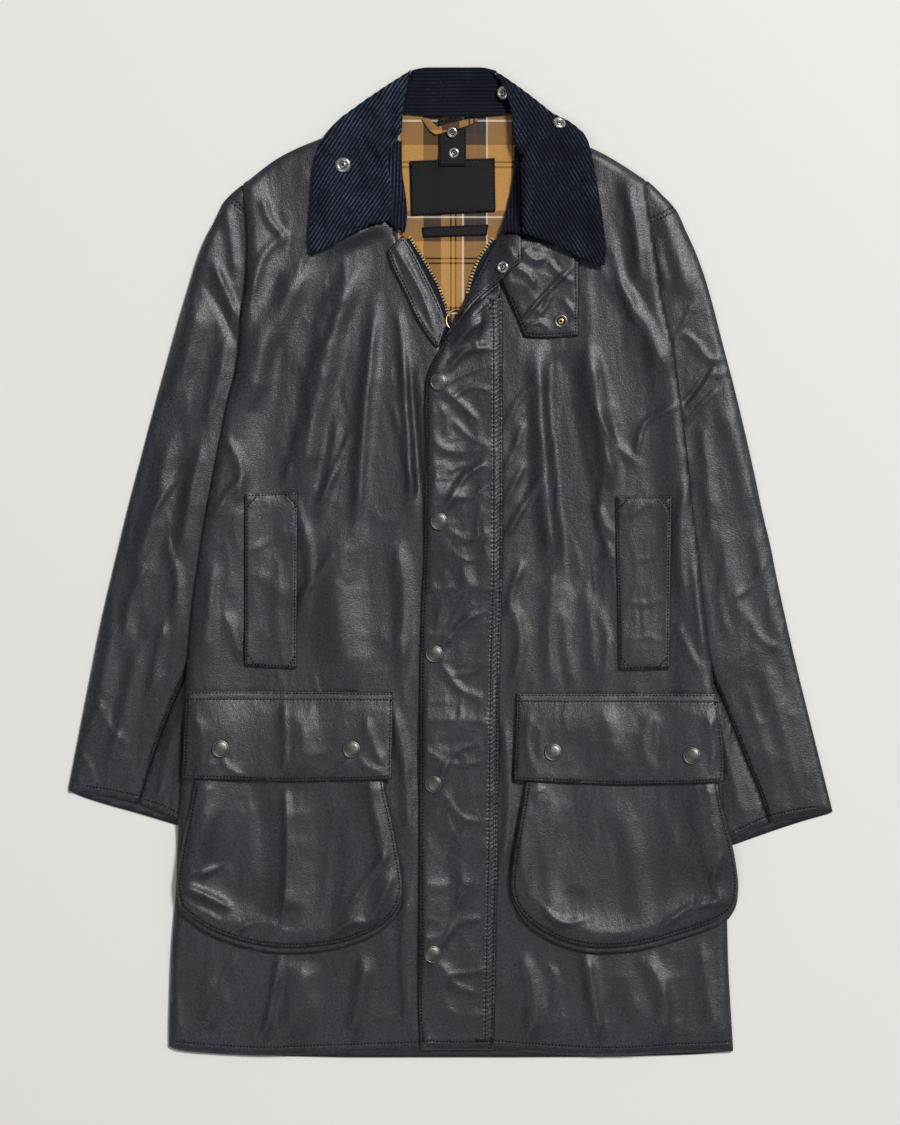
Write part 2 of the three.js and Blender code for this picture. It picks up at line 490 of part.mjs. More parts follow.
// Hard pieces
// A group that stands on a laid piece, tilted with it and clear of its facets.
function seatOn(pieceName, place, radius, ribbed = false) {
  const [x, y] = onSheet(place);
  const top = laid[pieceName];
  const slopeX = (levelAt(top, x + radius, y) - levelAt(top, x - radius, y)) / (2 * radius);
  const slopeY = (levelAt(top, x, y + radius) - levelAt(top, x, y - radius)) / (2 * radius);
  const middle = levelAt(top, x, y);
  let clear = 0;
  for (let k = 0; k < 24; k++)
    for (const r of [radius / 2, radius]) {
      const [dx, dy] = [r * Math.cos((k * Math.PI) / 12), r * Math.sin((k * Math.PI) / 12)];
      clear = Math.max(clear, levelAt(top, x + dx, y + dy) - (middle + slopeX * dx + slopeY * dy));
    }
  const seat = new THREE.Group();
  seat.position.set(x, y, middle + clear + GAP + (ribbed ? WALE.height : 0));
  seat.quaternion.setFromUnitVectors(
    new THREE.Vector3(0, 0, 1),
    new THREE.Vector3(-slopeX, -slopeY, 1).normalize(),
  );
  garment.add(seat);
  return seat;
}

function turned(profile, sides) {
  const geometry = new THREE.LatheGeometry(profile.map(([r, z]) => new THREE.Vector2(r, z)), sides);
  return geometry.rotateX(Math.PI / 2);
}

// Cap of a press stud: a rolled rim, a shallow step inside it and a low dome.
function studCap(radius, height) {
  const rim = 0.45 * height;
  return turned(
    [
      [0, 0], [0.93 * radius, 0], [radius, 0.5 * rim], [0.93 * radius, rim], [0.6 * radius, 0.85 * height],
      [0, height],
    ],
    16,
  );
}

// Ring of a press stud's other half: a rolled ring round a sunk middle.
function ringEyelet(radius, height) {
  return turned(
    [
      [0, 0], [0.92 * radius, 0], [radius, 0.5 * height], [0.8 * radius, height], [0.5 * radius, 0.35 * height],
      [0, 0.35 * height],
    ],
    14,
  );
}

FLY_STUDS.forEach((place, i) => {
  addMesh("snap_fly_" + (i + 1), studCap(STUD.radius, STUD.height), "gunmetal", seatOn("storm_fly", place, STUD.radius));
});
for (const [name, place] of Object.entries(FLAP_STUDS)) {
  const flap = name.includes("right") ? "flap_right" : "flap_left";
  addMesh(name, studCap(STUD.radius, STUD.height), "gunmetal", seatOn(flap, place, STUD.radius));
}
for (const [name, { place, on, radius }] of Object.entries(RINGS)) {
  addMesh(name, ringEyelet(radius, RING_HEIGHT), "nickel", seatOn(on, place, radius, on.startsWith("collar")));
}

// Zip slider with its bridge, and the ring pull that hangs in the bridge and lies towards the collar
const sliderSeat = new THREE.Group();
const [sliderX, sliderY] = onSheet(SLIDER.place);
const tapeLevel = Math.max(
  ...[-6, 0, 6].flatMap((dx) => [-6, 0, 6].map((dy) => levelAt(laid.zip_tape_left, sliderX + dx, sliderY + dy))),
);
sliderSeat.position.set(sliderX, sliderY, tapeLevel + GAP);
sliderSeat.rotation.z = SLIDER.turn;
garment.add(sliderSeat);

function sliderSolid() {
  const body = new THREE.BoxGeometry(SLIDER.width, SLIDER.length, SLIDER.height).translate(0, 0, SLIDER.height / 2);
  const { inner, bar, height, width } = BRIDGE;
  const [eyeEnd, outerEnd, eyeTop, sunk] = [inner / 2, inner / 2 + bar, height - bar, 0.4];
  const arch = new THREE.Shape();
  arch.moveTo(-outerEnd, -sunk).lineTo(outerEnd, -sunk).lineTo(outerEnd, eyeTop);
  arch.absarc(eyeEnd, eyeTop, bar, 0, Math.PI / 2).lineTo(-eyeEnd, height);
  arch.absarc(-eyeEnd, eyeTop, bar, Math.PI / 2, Math.PI).lineTo(-outerEnd, -sunk);
  const eye = new THREE.Path();
  eye.moveTo(-eyeEnd, 0.2).lineTo(-eyeEnd, eyeTop).lineTo(eyeEnd, eyeTop).lineTo(eyeEnd, 0.2).lineTo(-eyeEnd, 0.2);
  arch.holes.push(eye);
  const bridge = new THREE.ExtrudeGeometry(arch, { depth: width, bevelEnabled: false, curveSegments: 4 });
  bridge.translate(0, 0, -width / 2).rotateX(Math.PI / 2).rotateZ(Math.PI / 2).translate(0, 0, SLIDER.height);
  return solidOf(body).add(solidOf(bridge));
}
addSolid("zip_slider", sliderSolid(), "brass", sliderSeat);

const pullSeat = new THREE.Group();
pullSeat.position.set(0, 0, SLIDER.height + (BRIDGE.height - BRIDGE.bar + 0.2) / 2);
pullSeat.rotation.x = -PULL.droop;
sliderSeat.add(pullSeat);
const pullRing = new THREE.TorusGeometry(PULL.radius, PULL.wire, 6, 24).translate(0, PULL.radius, 0);
addSolid("zip_pull_ring", solidOf(pullRing), "brass", pullSeat);

export default garment;
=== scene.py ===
# The looks of a waxed cotton jacket that lies flat and face up, seen straight from above.
# Lengths are in mm until a mesh is made. Places on the jacket are (across, down) in mm from the top left
# corner of the sheet that it was measured on.
import math

import bpy
import numpy as np
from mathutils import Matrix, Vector


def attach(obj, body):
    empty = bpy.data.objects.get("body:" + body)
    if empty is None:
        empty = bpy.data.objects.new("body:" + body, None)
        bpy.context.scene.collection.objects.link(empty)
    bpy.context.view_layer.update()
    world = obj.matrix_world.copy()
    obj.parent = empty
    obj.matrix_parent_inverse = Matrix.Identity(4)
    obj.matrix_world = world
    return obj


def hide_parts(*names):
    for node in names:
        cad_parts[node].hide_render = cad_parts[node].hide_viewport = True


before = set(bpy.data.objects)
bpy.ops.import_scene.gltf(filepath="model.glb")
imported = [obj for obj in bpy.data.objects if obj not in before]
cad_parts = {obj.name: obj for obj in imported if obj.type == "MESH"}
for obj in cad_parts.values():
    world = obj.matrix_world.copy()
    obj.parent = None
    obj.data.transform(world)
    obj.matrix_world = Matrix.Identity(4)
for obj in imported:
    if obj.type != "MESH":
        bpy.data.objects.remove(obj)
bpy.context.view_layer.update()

# Driving sizes, mm
MM = 0.001
SHEET_MIDDLE = np.array([450.5, 562.5])
SHEET_SIZE = np.array([900.0, 1125.0])
SHELL, DOUBLE, CORD, THIN, GUSSET = 1.2, 1.9, 2.0, 0.7, 3.6  # walls of the kinds of cloth
GAP = 0.25  # between a piece and what it lies on
HEM = 7.0  # how far in from its edge a piece is pressed down
NARROWEST_SHEET = 11.0
LEAST_FILL = 0.31  # of its rectangle, for the bent strips of the pockets
WALE = 3.5  # rib spacing of the corduroy
PUCKER = 6.4  # along a seam, from one pucker to the next
# Stitches and a bar tack's threads are drawn a third longer and thicker than real, so that they show
STITCH = {"pitch": 3.3, "size": (1.2, 0.6, 2.1), "uneven": 0.12}
TACK = {"pitch": 1.3, "size": (0.6, 0.5, 2.2), "uneven": 0.1}
TOOTH = {"pitch": 3.2, "size": (3.0, 1.7, 1.7), "uneven": 0.05}
ROW_REACH = 14.0  # how far from a stitch row the cloth knows of it
FAR = 30.0  # the distance given to cloth with no row near it
COVERED = 1.2  # a piece this far above another one hides its stitches
TURNED_SIDES = 48
CAMERA_HEIGHT = 3000.0
SENSOR = 36.0
SEED = 11

# The pile is a map of the height of the uppermost cloth, on a square grid
CELL = 2.0
REACH = (396.0, 512.0)
MAP_X = np.arange(-REACH[0], REACH[0] + CELL / 2, CELL)
MAP_Y = np.arange(-REACH[1], REACH[1] + CELL / 2, CELL)
XX, YY = np.meshgrid(MAP_X, MAP_Y)
pile = np.zeros_like(XX)
tops = {}
outlines = {}
JACKET, PULL = "jacket", "zip_pull"


# Plane geometry
def on_sheet(points):
    """Sheet places as x, y in the jacket's frame."""
    return (np.asarray(points, float) - SHEET_MIDDLE) * [1, -1]


def dense(points, step, closed=True):
    """Points every step along a polyline."""
    points = np.asarray(points, float)
    ends = np.roll(points, -1, axis=0) if closed else points[1:]
    out = []
    for a, b in zip(points, ends):
        count = max(1, int(math.ceil(np.linalg.norm(b - a) / step)))
        out.extend(a + (b - a) * k / count for k in range(count))
    if not closed:
        out.append(points[-1])
    return np.array(out)


def turning(degrees):
    """The matrix that turns rows of x, y back by an angle."""
    turn = math.radians(degrees)
    return np.array([[math.cos(turn), -math.sin(turn)], [math.sin(turn), math.cos(turn)]])


def signed_area(outline):
    """An outline's area, positive where it runs anticlockwise."""
    a, b = outline, np.roll(outline, -1, axis=0)
    return (a[:, 0] * b[:, 1] - a[:, 1] * b[:, 0]).sum() / 2


def smooth_line(points):
    """A smooth open line through the points, with a point about every 6 mm."""
    points = np.asarray(points, float)
    ahead = np.diff(points, axis=0)
    lengths = np.linalg.norm(ahead, axis=1)
    ways = ahead / lengths[:, None]
    tangents = np.vstack([ways[:1], (ways[:-1] + ways[1:]) / 2, ways[-1:]])
    out = []
    for i, length in enumerate(lengths):
        p, q, tp, tq = points[i], points[i + 1], tangents[i] * length, tangents[i + 1] * length
        square, cube = 3 * (q - p) - 2 * tp - tq, 2 * (p - q) + tp + tq
        count = max(1, int(length / 6))
        for t in np.arange(count) / count:
            out.append(p + t * tp + t * t * square + t**3 * cube)
    return np.array(out + [points[-1]])


def rounded(points):
    """A closed outline with its gentle bends rounded by cutting them three times, and its corners kept."""
    corner, reach = math.radians(32), 12.0
    for _ in range(3):
        out = []
        for i, here in enumerate(points):
            back, ahead = points[i - 1] - here, points[(i + 1) % len(points)] - here
            la, lb = np.linalg.norm(back), np.linalg.norm(ahead)
            turn = math.pi - math.acos(float(np.clip(back @ ahead / (la * lb), -1, 1)))
            if turn > corner or turn < 0.01:
                out.append(here)
                continue
            out.extend((here + back / la * min(0.28 * la, reach), here + ahead / lb * min(0.28 * lb, reach)))
        points, reach = np.array(out), reach / 2
    return points


def noise(x, y, scale, seed):
    """Smooth noise from 0 to 1, with features about `scale` mm wide."""
    size = 64
    table = np.random.RandomState(seed).rand(size, size)
    u, v = np.asarray(x) / scale + 31.7, np.asarray(y) / scale + 17.1
    i, j = np.floor(u).astype(int), np.floor(v).astype(int)
    fu, fv = u - i, v - j
    fu, fv = (f * f * f * (f * (f * 6 - 15) + 10) for f in (fu, fv))
    low = table[j % size, i % size] * (1 - fu) + table[j % size, (i + 1) % size] * fu
    high = table[(j + 1) % size, i % size] * (1 - fu) + table[(j + 1) % size, (i + 1) % size] * fu
    return low * (1 - fv) + high * fv


def ridges(x, y, scale, seed):
    """Creases with narrow crests, 0 to 1."""
    return (1 - np.abs(2 * noise(x, y, scale, seed) - 1)) ** 3


def blur(field, radius):
    """Three box blurs, which come near a Gaussian of that radius."""
    half = max(1, int(round(radius / CELL)))
    for _ in range(3):
        for axis in (0, 1):
            edges = [(half + 1, half) if a == axis else (0, 0) for a in (0, 1)]
            wide = np.pad(field, edges, mode="edge")
            total = np.cumsum(wide, axis=axis)
            head = np.take(total, range(2 * half + 1, total.shape[axis]), axis=axis)
            tail = np.take(total, range(0, total.shape[axis] - 2 * half - 1), axis=axis)
            field = (head - tail) / (2 * half + 1)
    return field


def highest_near(field, radius):
    """The highest value within a square of that radius."""
    for _ in range(max(1, int(round(radius / CELL)))):
        wide = np.pad(field, 1, mode="edge")
        rows = np.maximum(np.maximum(wide[:-2], wide[1:-1]), wide[2:])
        field = np.maximum(np.maximum(rows[:, :-2], rows[:, 1:-1]), rows[:, 2:])
    return field


def sample(field, x, y):
    """A map's value at any place."""
    u = np.clip((np.asarray(x) + REACH[0]) / CELL, 0, len(MAP_X) - 1.001)
    v = np.clip((np.asarray(y) + REACH[1]) / CELL, 0, len(MAP_Y) - 1.001)
    i, j = u.astype(int), v.astype(int)
    fu, fv = u - i, v - j
    low = field[j, i] * (1 - fu) + field[j, i + 1] * fu
    high = field[j + 1, i] * (1 - fu) + field[j + 1, i + 1] * fu
    return low * (1 - fv) + high * fv


def rows_inside(outline, xs, ys):
    """Which places of a grid lie inside an outline, row by row."""
    inside = np.zeros((len(ys), len(xs)), bool)
    a, b = outline, np.roll(outline, -1, axis=0)
    for row, y in enumerate(ys):
        cut = (a[:, 1] > y) != (b[:, 1] > y)
        if not cut.any():
            continue
        p, q = a[cut], b[cut]
        crossings = np.sort(p[:, 0] + (y - p[:, 1]) * (q[:, 0] - p[:, 0]) / (q[:, 1] - p[:, 1]))
        inside[row] = np.searchsorted(crossings, xs) % 2 == 1
    return inside


def distance_to(line, x, y):
    """Distance from each place to the nearest point of a dense line, and that point's index."""
    flat = np.stack([np.ravel(x), np.ravel(y)], axis=1)
    best, index = np.empty(len(flat)), np.empty(len(flat), int)
    for start in range(0, len(flat), 4000):
        part = flat[start : start + 4000]
        d = ((part[:, None, :] - line[None, :, :]) ** 2).sum(axis=2)
        index[start : start + 4000] = d.argmin(axis=1)
        best[start : start + 4000] = np.sqrt(d.min(axis=1))
    return best.reshape(np.shape(x)), index.reshape(np.shape(x))


def node_outline(name):
    """The outline of a CAD node seen from above, from the rim of its upper face."""
    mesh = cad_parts[name].data
    points = np.empty(len(mesh.vertices) * 3)
    mesh.vertices.foreach_get("co", points)
    points = np.round(points.reshape(-1, 3) / MM, 2)
    unique, same = np.unique(points, axis=0, return_inverse=True)
    same = same.reshape(-1)
    wall_edges, top_edges = set(), []
    for face in mesh.polygons:
        corners = [int(same[v]) for v in face.vertices]
        wall = abs(face.normal.z) < 0.02
        for p, q in zip(corners, corners[1:] + corners[:1]):
            if p == q:
                continue
            if wall:
                wall_edges.add((q, p))
            elif face.normal.z > 0:
                top_edges.append((p, q))
    following = {p: q for (p, q) in top_edges if (p, q) in wall_edges}
    start = max(following, key=lambda p: unique[p][0])
    chain, here = [start], following[start]
    while here != start and len(chain) <= len(following):
        chain.append(here)
        here = following[here]
    loop = unique[chain][:, :2]
    # points that add no bend are left out
    keep = []
    for i in range(len(loop)):
        a, b = loop[i] - (keep[-1] if keep else loop[i - 1]), loop[(i + 1) % len(loop)] - loop[i]
        bend = abs(math.atan2(a[0] * b[1] - a[1] * b[0], float(a @ b)))
        if np.linalg.norm(a) > 0.3 and bend > 0.012:
            keep.append(loop[i])
    return np.array(keep)


# How fine the crumpling is across and down
WARP_GRAIN, BOTH_WAYS = (1.0, 0.3), (0.8, 0.9)

# Creases. Each row is a path over the sheet, its full width and its height; troughs are below zero.
CREASES = {
    "front_right": [
        ([(361, 262), (338, 312), (313, 420), (300, 500)], 40, 3.8),
        ([(376, 300), (364, 421), (360, 475), (356, 545)], 24, 2.8),
        ([(352, 520), (338, 590), (350, 690)], 60, 2.4),
        ([(305, 264), (285, 305), (267, 341), (252, 412)], 44, 3.2),
        ([(338, 420), (330, 470), (322, 520)], 20, 1.4),
        ([(300, 430), (292, 462), (284, 486)], 16, 1.2),
        ([(286, 455), (288, 470), (292, 486)], 9, 1.0),
        ([(262, 196), (272, 225), (284, 238), (279, 252)], 16, 2.0),
        ([(284, 232), (262, 262), (252, 300)], 18, 1.6),
        ([(337, 300), (322, 345)], 22, -1.6),
        ([(410, 366), (415, 420), (421, 500)], 12, -2.8),
        ([(402, 350), (407, 430), (412, 512)], 14, 2.4),
        ([(398, 310), (404, 360), (410, 400)], 16, 1.8),
        ([(392, 400), (404, 450), (414, 492)], 10, 1.3),
        ([(318, 505), (336, 470), (352, 430)], 16, 1.6),
        ([(300, 510), (310, 560), (302, 620)], 20, 1.4),
        ([(300, 600), (320, 572), (334, 552)], 12, 1.1),
        ([(228, 440), (242, 470), (238, 505)], 20, 1.7),
        ([(214, 520), (232, 490), (244, 478)], 14, 1.4),
        ([(215, 560), (210, 610), (206, 660)], 26, 1.6),
        ([(224, 610), (236, 640), (242, 660)], 16, 1.2),
        ([(396, 540), (404, 600), (400, 680)], 30, 1.8),
        ([(392, 700), (404, 760), (410, 850)], 24, 1.8),
        ([(408, 880), (404, 960), (410, 1040)], 22, 1.8),
        ([(280, 952), (276, 985), (264, 1040)], 18, 2.6),
        ([(300, 960), (300, 1000), (286, 1040)], 50, 2.0),
        ([(366, 955), (360, 1000), (350, 1042)], 30, 2.2),
        ([(176, 950), (177, 1000), (182, 1040)], 12, 1.4),
        ([(208, 975), (214, 1005), (206, 1030)], 34, 1.4),
        ([(236, 955), (222, 985), (228, 1010)], 14, 1.2),
        ([(392, 214), (400, 228), (408, 246)], 26, 3.6),
        ([(326, 246), (356, 235), (388, 222)], 34, 3.4),
    ],
    "front_left": [
        ([(536, 345), (541, 400), (544, 470), (553, 575)], 34, 4.0),
        ([(556, 350), (568, 449), (580, 520), (584, 600)], 56, -4.6),
        ([(588, 345), (600, 421), (612, 490)], 34, 3.4),
        ([(553, 575), (548, 630), (552, 690)], 26, 1.3),
        ([(582, 560), (590, 620), (596, 690)], 26, 1.0),
        ([(611, 275), (640, 320), (664, 380)], 30, 2.6),
        ([(560, 180), (600, 200)], 24, 0.8),
        ([(622, 176), (634, 230), (640, 290)], 22, 2.0),
        ([(610, 240), (626, 300), (640, 330)], 18, 1.4),
        ([(636, 457), (644, 424), (676, 406)], 12, 2.0),
        ([(590, 400), (612, 440), (640, 468)], 18, 1.4),
        ([(504, 506), (514, 484), (526, 462)], 10, 1.6),
        ([(504, 540), (520, 512), (540, 478)], 12, 1.8),
        ([(504, 430), (516, 404), (532, 384)], 12, 1.2),
        ([(506, 470), (518, 440), (526, 420)], 12, 1.2),
        ([(592, 500), (604, 540), (612, 560)], 14, 1.8),
        ([(586, 540), (598, 560), (614, 556)], 10, 1.3),
        ([(606, 470), (600, 510), (612, 540)], 12, 1.6),
        ([(512, 600), (520, 640), (514, 690)], 22, 1.8),
        ([(524, 560), (512, 590), (508, 620)], 14, 1.6),
        ([(560, 600), (566, 650), (574, 690)], 22, 0.9),
        ([(596, 600), (606, 640), (604, 690)], 18, 1.0),
        ([(684, 480), (678, 540), (684, 610)], 20, 1.4),
        ([(694, 560), (698, 610), (704, 660)], 18, 1.5),
        ([(674, 620), (686, 648), (700, 672)], 14, 1.2),
        ([(584, 948), (592, 990), (600, 1040)], 26, 2.8),
        ([(520, 950), (534, 1000), (528, 1042)], 30, 2.0),
        ([(645, 955), (664, 1000), (660, 1046)], 32, 2.0),
        ([(700, 940), (706, 990), (716, 1040)], 24, 1.6),
        ([(545, 960), (556, 980), (552, 1010)], 14, 1.4),
        ([(504, 720), (508, 800), (502, 880)], 16, 1.6),
    ],
    "sleeve_top_right": [
        ([(214, 266), (226, 292), (238, 322)], 16, 2.5),
        ([(206, 284), (222, 312), (236, 344)], 16, -1.4),
        ([(226, 205), (232, 240), (236, 280)], 18, 1.5),
        ([(200, 300), (188, 350), (170, 410)], 40, 2.5),
        ([(228, 330), (220, 380), (206, 430)], 24, 1.7),
        ([(172, 430), (158, 500), (134, 580)], 36, 2.4),
        ([(204, 440), (190, 500), (182, 560)], 26, 1.9),
        ([(186, 470), (168, 490), (150, 520)], 14, 1.4),
        ([(166, 540), (178, 580), (174, 620)], 18, 1.5),
        ([(150, 560), (132, 600), (124, 650)], 22, 1.7),
        ([(118, 610), (106, 670), (92, 740)], 30, 1.9),
        ([(140, 640), (128, 700), (108, 780)], 26, 1.5),
        ([(166, 620), (158, 660), (150, 700)], 18, 1.5),
        ([(100, 700), (112, 730), (128, 745)], 14, 1.1),
        ([(80, 750), (92, 772), (96, 790)], 14, 0.8),
    ],
    "sleeve_inner_right": [
        ([(176, 720), (166, 770), (158, 808)], 20, 1.6),
        ([(186, 690), (180, 740), (178, 800)], 18, 1.6),
    ],
    "sleeve_top_left": [
        ([(692, 304), (684, 322), (678, 334)], 8, 1.3),
        ([(680, 332), (674, 344), (676, 362)], 8, 1.4),
        ([(682, 332), (697, 345), (711, 361), (724, 357)], 8, 1.8),
        ([(690, 345), (699, 356), (706, 360)], 7, 1.0),
        ([(680, 408), (698, 385), (711, 363)], 9, -1.9),
        ([(684, 411), (703, 387), (714, 364)], 8, 1.6),
        ([(686, 398), (694, 385), (706, 368)], 7, 1.0),
        ([(685, 424), (702, 404), (718, 388)], 9, 1.6),
        ([(711, 372), (717, 376), (727, 372)], 7, 1.2),
        ([(660, 205), (674, 250), (690, 300)], 34, 1.6),
        ([(656, 236), (660, 262), (668, 290)], 22, 1.2),
        ([(700, 260), (706, 290), (714, 325)], 18, 0.9),
        ([(700, 420), (706, 470), (716, 520)], 22, 1.2),
        ([(718, 400), (736, 450), (748, 520)], 30, 1.0),
        ([(696, 470), (708, 510), (712, 560)], 16, 0.8),
        ([(716, 520), (730, 580), (744, 630)], 28, 1.0),
        ([(752, 520), (764, 580), (776, 640)], 26, 0.9),
        ([(724, 560), (720, 600), (728, 640)], 16, 0.8),
        ([(744, 610), (762, 640), (782, 650)], 14, 0.8),
        ([(760, 660), (780, 720), (800, 800)], 30, 1.0),
        ([(742, 680), (756, 720), (772, 780)], 18, 0.6),
        ([(790, 700), (800, 750), (812, 790)], 16, 0.5),
        ([(730, 600), (752, 584), (764, 560)], 12, 0.8),
    ],
    "sleeve_inner_left": [
        ([(714, 700), (728, 760), (744, 828)], 22, 1.6),
        ([(704, 660), (712, 700), (722, 730)], 16, 1.4),
    ],
    "storm_fly": [
        ([(446, 372), (466, 352), (494, 348)], 14, 2.0),
        ([(447, 384), (470, 372), (493, 366)], 8, 1.2),
        ([(440, 404), (448, 424), (446, 440)], 9, 1.1),
        ([(452, 418), (472, 440), (490, 446)], 9, 1.2),
        ([(444, 474), (462, 466), (478, 474)], 8, 0.9),
        ([(452, 498), (468, 498), (490, 484)], 9, 1.1),
        ([(450, 548), (462, 560), (486, 556)], 9, 1.0),
        ([(446, 632), (460, 606), (466, 592)], 9, 0.9),
        ([(450, 674), (472, 672), (488, 660)], 9, 0.9),
        ([(448, 762), (466, 764), (486, 758)], 8, 0.8),
        ([(446, 806), (452, 830), (462, 842)], 9, 0.9),
        ([(446, 934), (456, 908), (462, 890)], 9, 0.8),
        ([(448, 972), (466, 972), (486, 966)], 8, 0.8),
        ([(444, 392), (462, 406), (478, 424)], 14, 1.8),
        ([(450, 400), (470, 388), (492, 392)], 10, 1.3),
        ([(446, 512), (462, 480), (486, 462)], 16, 1.8),
        ([(446, 528), (466, 540), (488, 532)], 12, 1.3),
        ([(428, 440), (452, 452), (486, 448)], 20, 1.2),
        ([(442, 648), (462, 622), (488, 610)], 14, 1.3),
        ([(442, 664), (462, 690), (484, 698)], 14, 1.2),
        ([(440, 776), (456, 750), (478, 742)], 14, 1.1),
        ([(442, 790), (460, 816), (482, 822)], 14, 1.1),
        ([(440, 946), (458, 922), (482, 916)], 14, 1.1),
        ([(440, 960), (456, 984), (478, 992)], 14, 1.1),
        ([(428, 580), (440, 600), (436, 630)], 14, 0.9),
        ([(460, 560), (470, 600), (462, 640)], 22, 1.0),
        ([(450, 850), (462, 880), (456, 910)], 22, 0.9),
        ([(452, 350), (462, 338), (484, 320)], 12, 1.8),
        ([(484, 318), (476, 340), (482, 362)], 12, 1.3),
    ],
    "throat_tab": [
        ([(522, 322), (540, 300), (572, 268)], 8, 2.0),
        ([(548, 262), (560, 276), (574, 284)], 10, 1.5),
        ([(520, 250), (536, 262), (546, 258)], 18, 1.6),
        ([(512, 268), (528, 276), (536, 290)], 14, 1.5),
        ([(536, 318), (546, 306), (552, 290)], 12, 1.4),
        ([(562, 300), (572, 312), (577, 320)], 10, 1.3),
        ([(526, 330), (540, 322), (548, 330)], 9, 1.2),
    ],
    "facing_right": [
        ([(396, 250), (410, 272), (424, 300), (434, 330)], 8, 1.3),
        ([(404, 244), (418, 276), (430, 296)], 8, -1.3),
        ([(391, 246), (400, 270), (414, 300), (426, 322)], 7, -1.1),
        ([(408, 300), (420, 322), (430, 336)], 7, 0.9),
    ],
    "facing_left": [
        ([(452, 330), (470, 304), (492, 284), (514, 262)], 8, 0.9),
        ([(498, 240), (508, 250), (514, 262)], 10, 1.2),
    ],
    "handwarmer_right": [
        ([(250, 552), (268, 542), (290, 528)], 16, 0.6),
        ([(252, 572), (266, 580), (290, 600)], 26, 0.5),
        ([(280, 560), (278, 600), (280, 650)], 26, 0.8),
    ],
    "handwarmer_left": [
        ([(622, 520), (640, 508), (656, 500)], 12, 0.5),
        ([(636, 560), (654, 556), (664, 540)], 14, 0.4),
        ([(624, 600), (646, 604), (664, 596)], 12, 0.4),
        ([(630, 640), (650, 636), (664, 644)], 12, 0.3),
        ([(628, 530), (636, 570), (628, 610)], 12, 0.3),
    ],
    "pocket_right": [
        ([(286, 786), (288, 850), (284, 925)], 12, 1.8),
        ([(290, 790), (294, 850), (288, 925)], 64, 2.4),
        ([(350, 905), (370, 874), (388, 850)], 16, 1.2),
        ([(366, 926), (384, 896), (395, 868)], 14, 1.2),
        ([(340, 795), (352, 850), (346, 930)], 40, 1.1),
        ([(214, 800), (204, 840), (206, 880)], 30, 1.2),
        ([(178, 883), (204, 892), (232, 907)], 13, 2.8),
        ([(186, 896), (206, 905), (226, 915)], 10, -1.8),
        ([(184, 868), (204, 872), (222, 864)], 12, 1.3),
        ([(244, 800), (252, 850), (246, 900)], 36, 0.8),
        ([(372, 800), (384, 850), (380, 900)], 26, 1.0),
        ([(234, 930), (256, 920), (284, 926)], 14, 1.3),
        ([(330, 934), (352, 920), (372, 922)], 14, 1.3),
    ],
    "pocket_left": [
        ([(560, 795), (548, 850), (556, 930)], 34, 1.2),
        ([(616, 800), (630, 850), (640, 925)], 36, 1.2),
        ([(690, 795), (702, 840), (716, 890)], 30, 1.2),
        ([(660, 800), (672, 850), (666, 900)], 26, 0.7),
        ([(524, 800), (520, 850), (528, 900)], 20, 0.9),
        ([(540, 905), (560, 920), (584, 918)], 14, 1.4),
        ([(660, 925), (690, 905), (724, 900)], 14, 1.6),
        ([(720, 850), (712, 880), (724, 905)], 12, 1.3),
    ],
    "flap_right": [
        ([(284, 700), (286, 740), (285, 777)], 12, 1.0),
        ([(296, 702), (300, 740), (298, 776)], 44, 1.0),
        ([(224, 757), (232, 768), (246, 776)], 12, 1.0),
        ([(214, 758), (206, 768), (196, 772)], 10, 0.8),
        ([(350, 758), (340, 768), (326, 774)], 10, 0.9),
        ([(358, 756), (368, 766), (382, 770)], 10, 0.8),
        ([(366, 715), (372, 740), (384, 765)], 16, 0.9),
        ([(196, 715), (204, 745), (200, 770)], 16, 0.8),
    ],
    "flap_left": [
        ([(600, 705), (612, 740), (604, 780)], 32, 0.9),
        ([(650, 710), (642, 745), (652, 775)], 22, 0.8),
        ([(704, 712), (712, 740), (708, 775)], 14, 0.9),
        ([(530, 710), (526, 740), (534, 772)], 14, 0.8),
    ],
    "collar_leaf_right": [
        ([(404, 80), (399, 112), (397, 145)], 18, 3.0),
        ([(350, 128), (362, 150), (372, 190)], 18, 1.4),
        ([(334, 190), (350, 206), (360, 232)], 16, 1.0),
        ([(374, 95), (385, 107), (396, 119)], 10, -2.2),
        ([(366, 102), (376, 114), (388, 126)], 12, 1.4),
        ([(360, 132), (376, 148), (387, 168), (390, 215)], 24, 3.6),
        ([(398, 116), (392, 140), (384, 160)], 16, -1.2),
        ([(340, 140), (350, 180), (366, 224)], 40, 0.9),
        ([(366, 134), (384, 138), (402, 146)], 14, -1.4),
        ([(322, 160), (330, 200), (326, 240)], 20, 0.8),
    ],
    "collar_stand_right": [([(381, 140), (383, 180), (386, 226)], 36, 2.4)],
    "collar_stand_left": [([(533, 146), (533, 190), (528, 232)], 40, 3.2)],
    "collar_leaf_left": [
        ([(500, 80), (510, 108), (516, 150)], 16, 2.6),
        ([(536, 110), (532, 140), (524, 170)], 16, 1.6),
        ([(524, 160), (524, 200), (526, 232)], 18, 2.6),
        ([(560, 130), (584, 180), (596, 250)], 30, 1.0),
    ],
}

# Where a piece stands over something hard beneath it: place, reach and height
ROOM = {
    "front_left": [((458, 322), 26, 9.8), ((468, 310), 28, 7.1)],
    "facing_left": [((460, 318), 24, 4.0), ((461, 309), 20, 2.8), ((449, 330), 14, 2.0)],
    "hanger_loop": [((452, 129), 14, 1.6)],
    "collar_leaf_left": [((503, 94), 16, 2.4)],
}

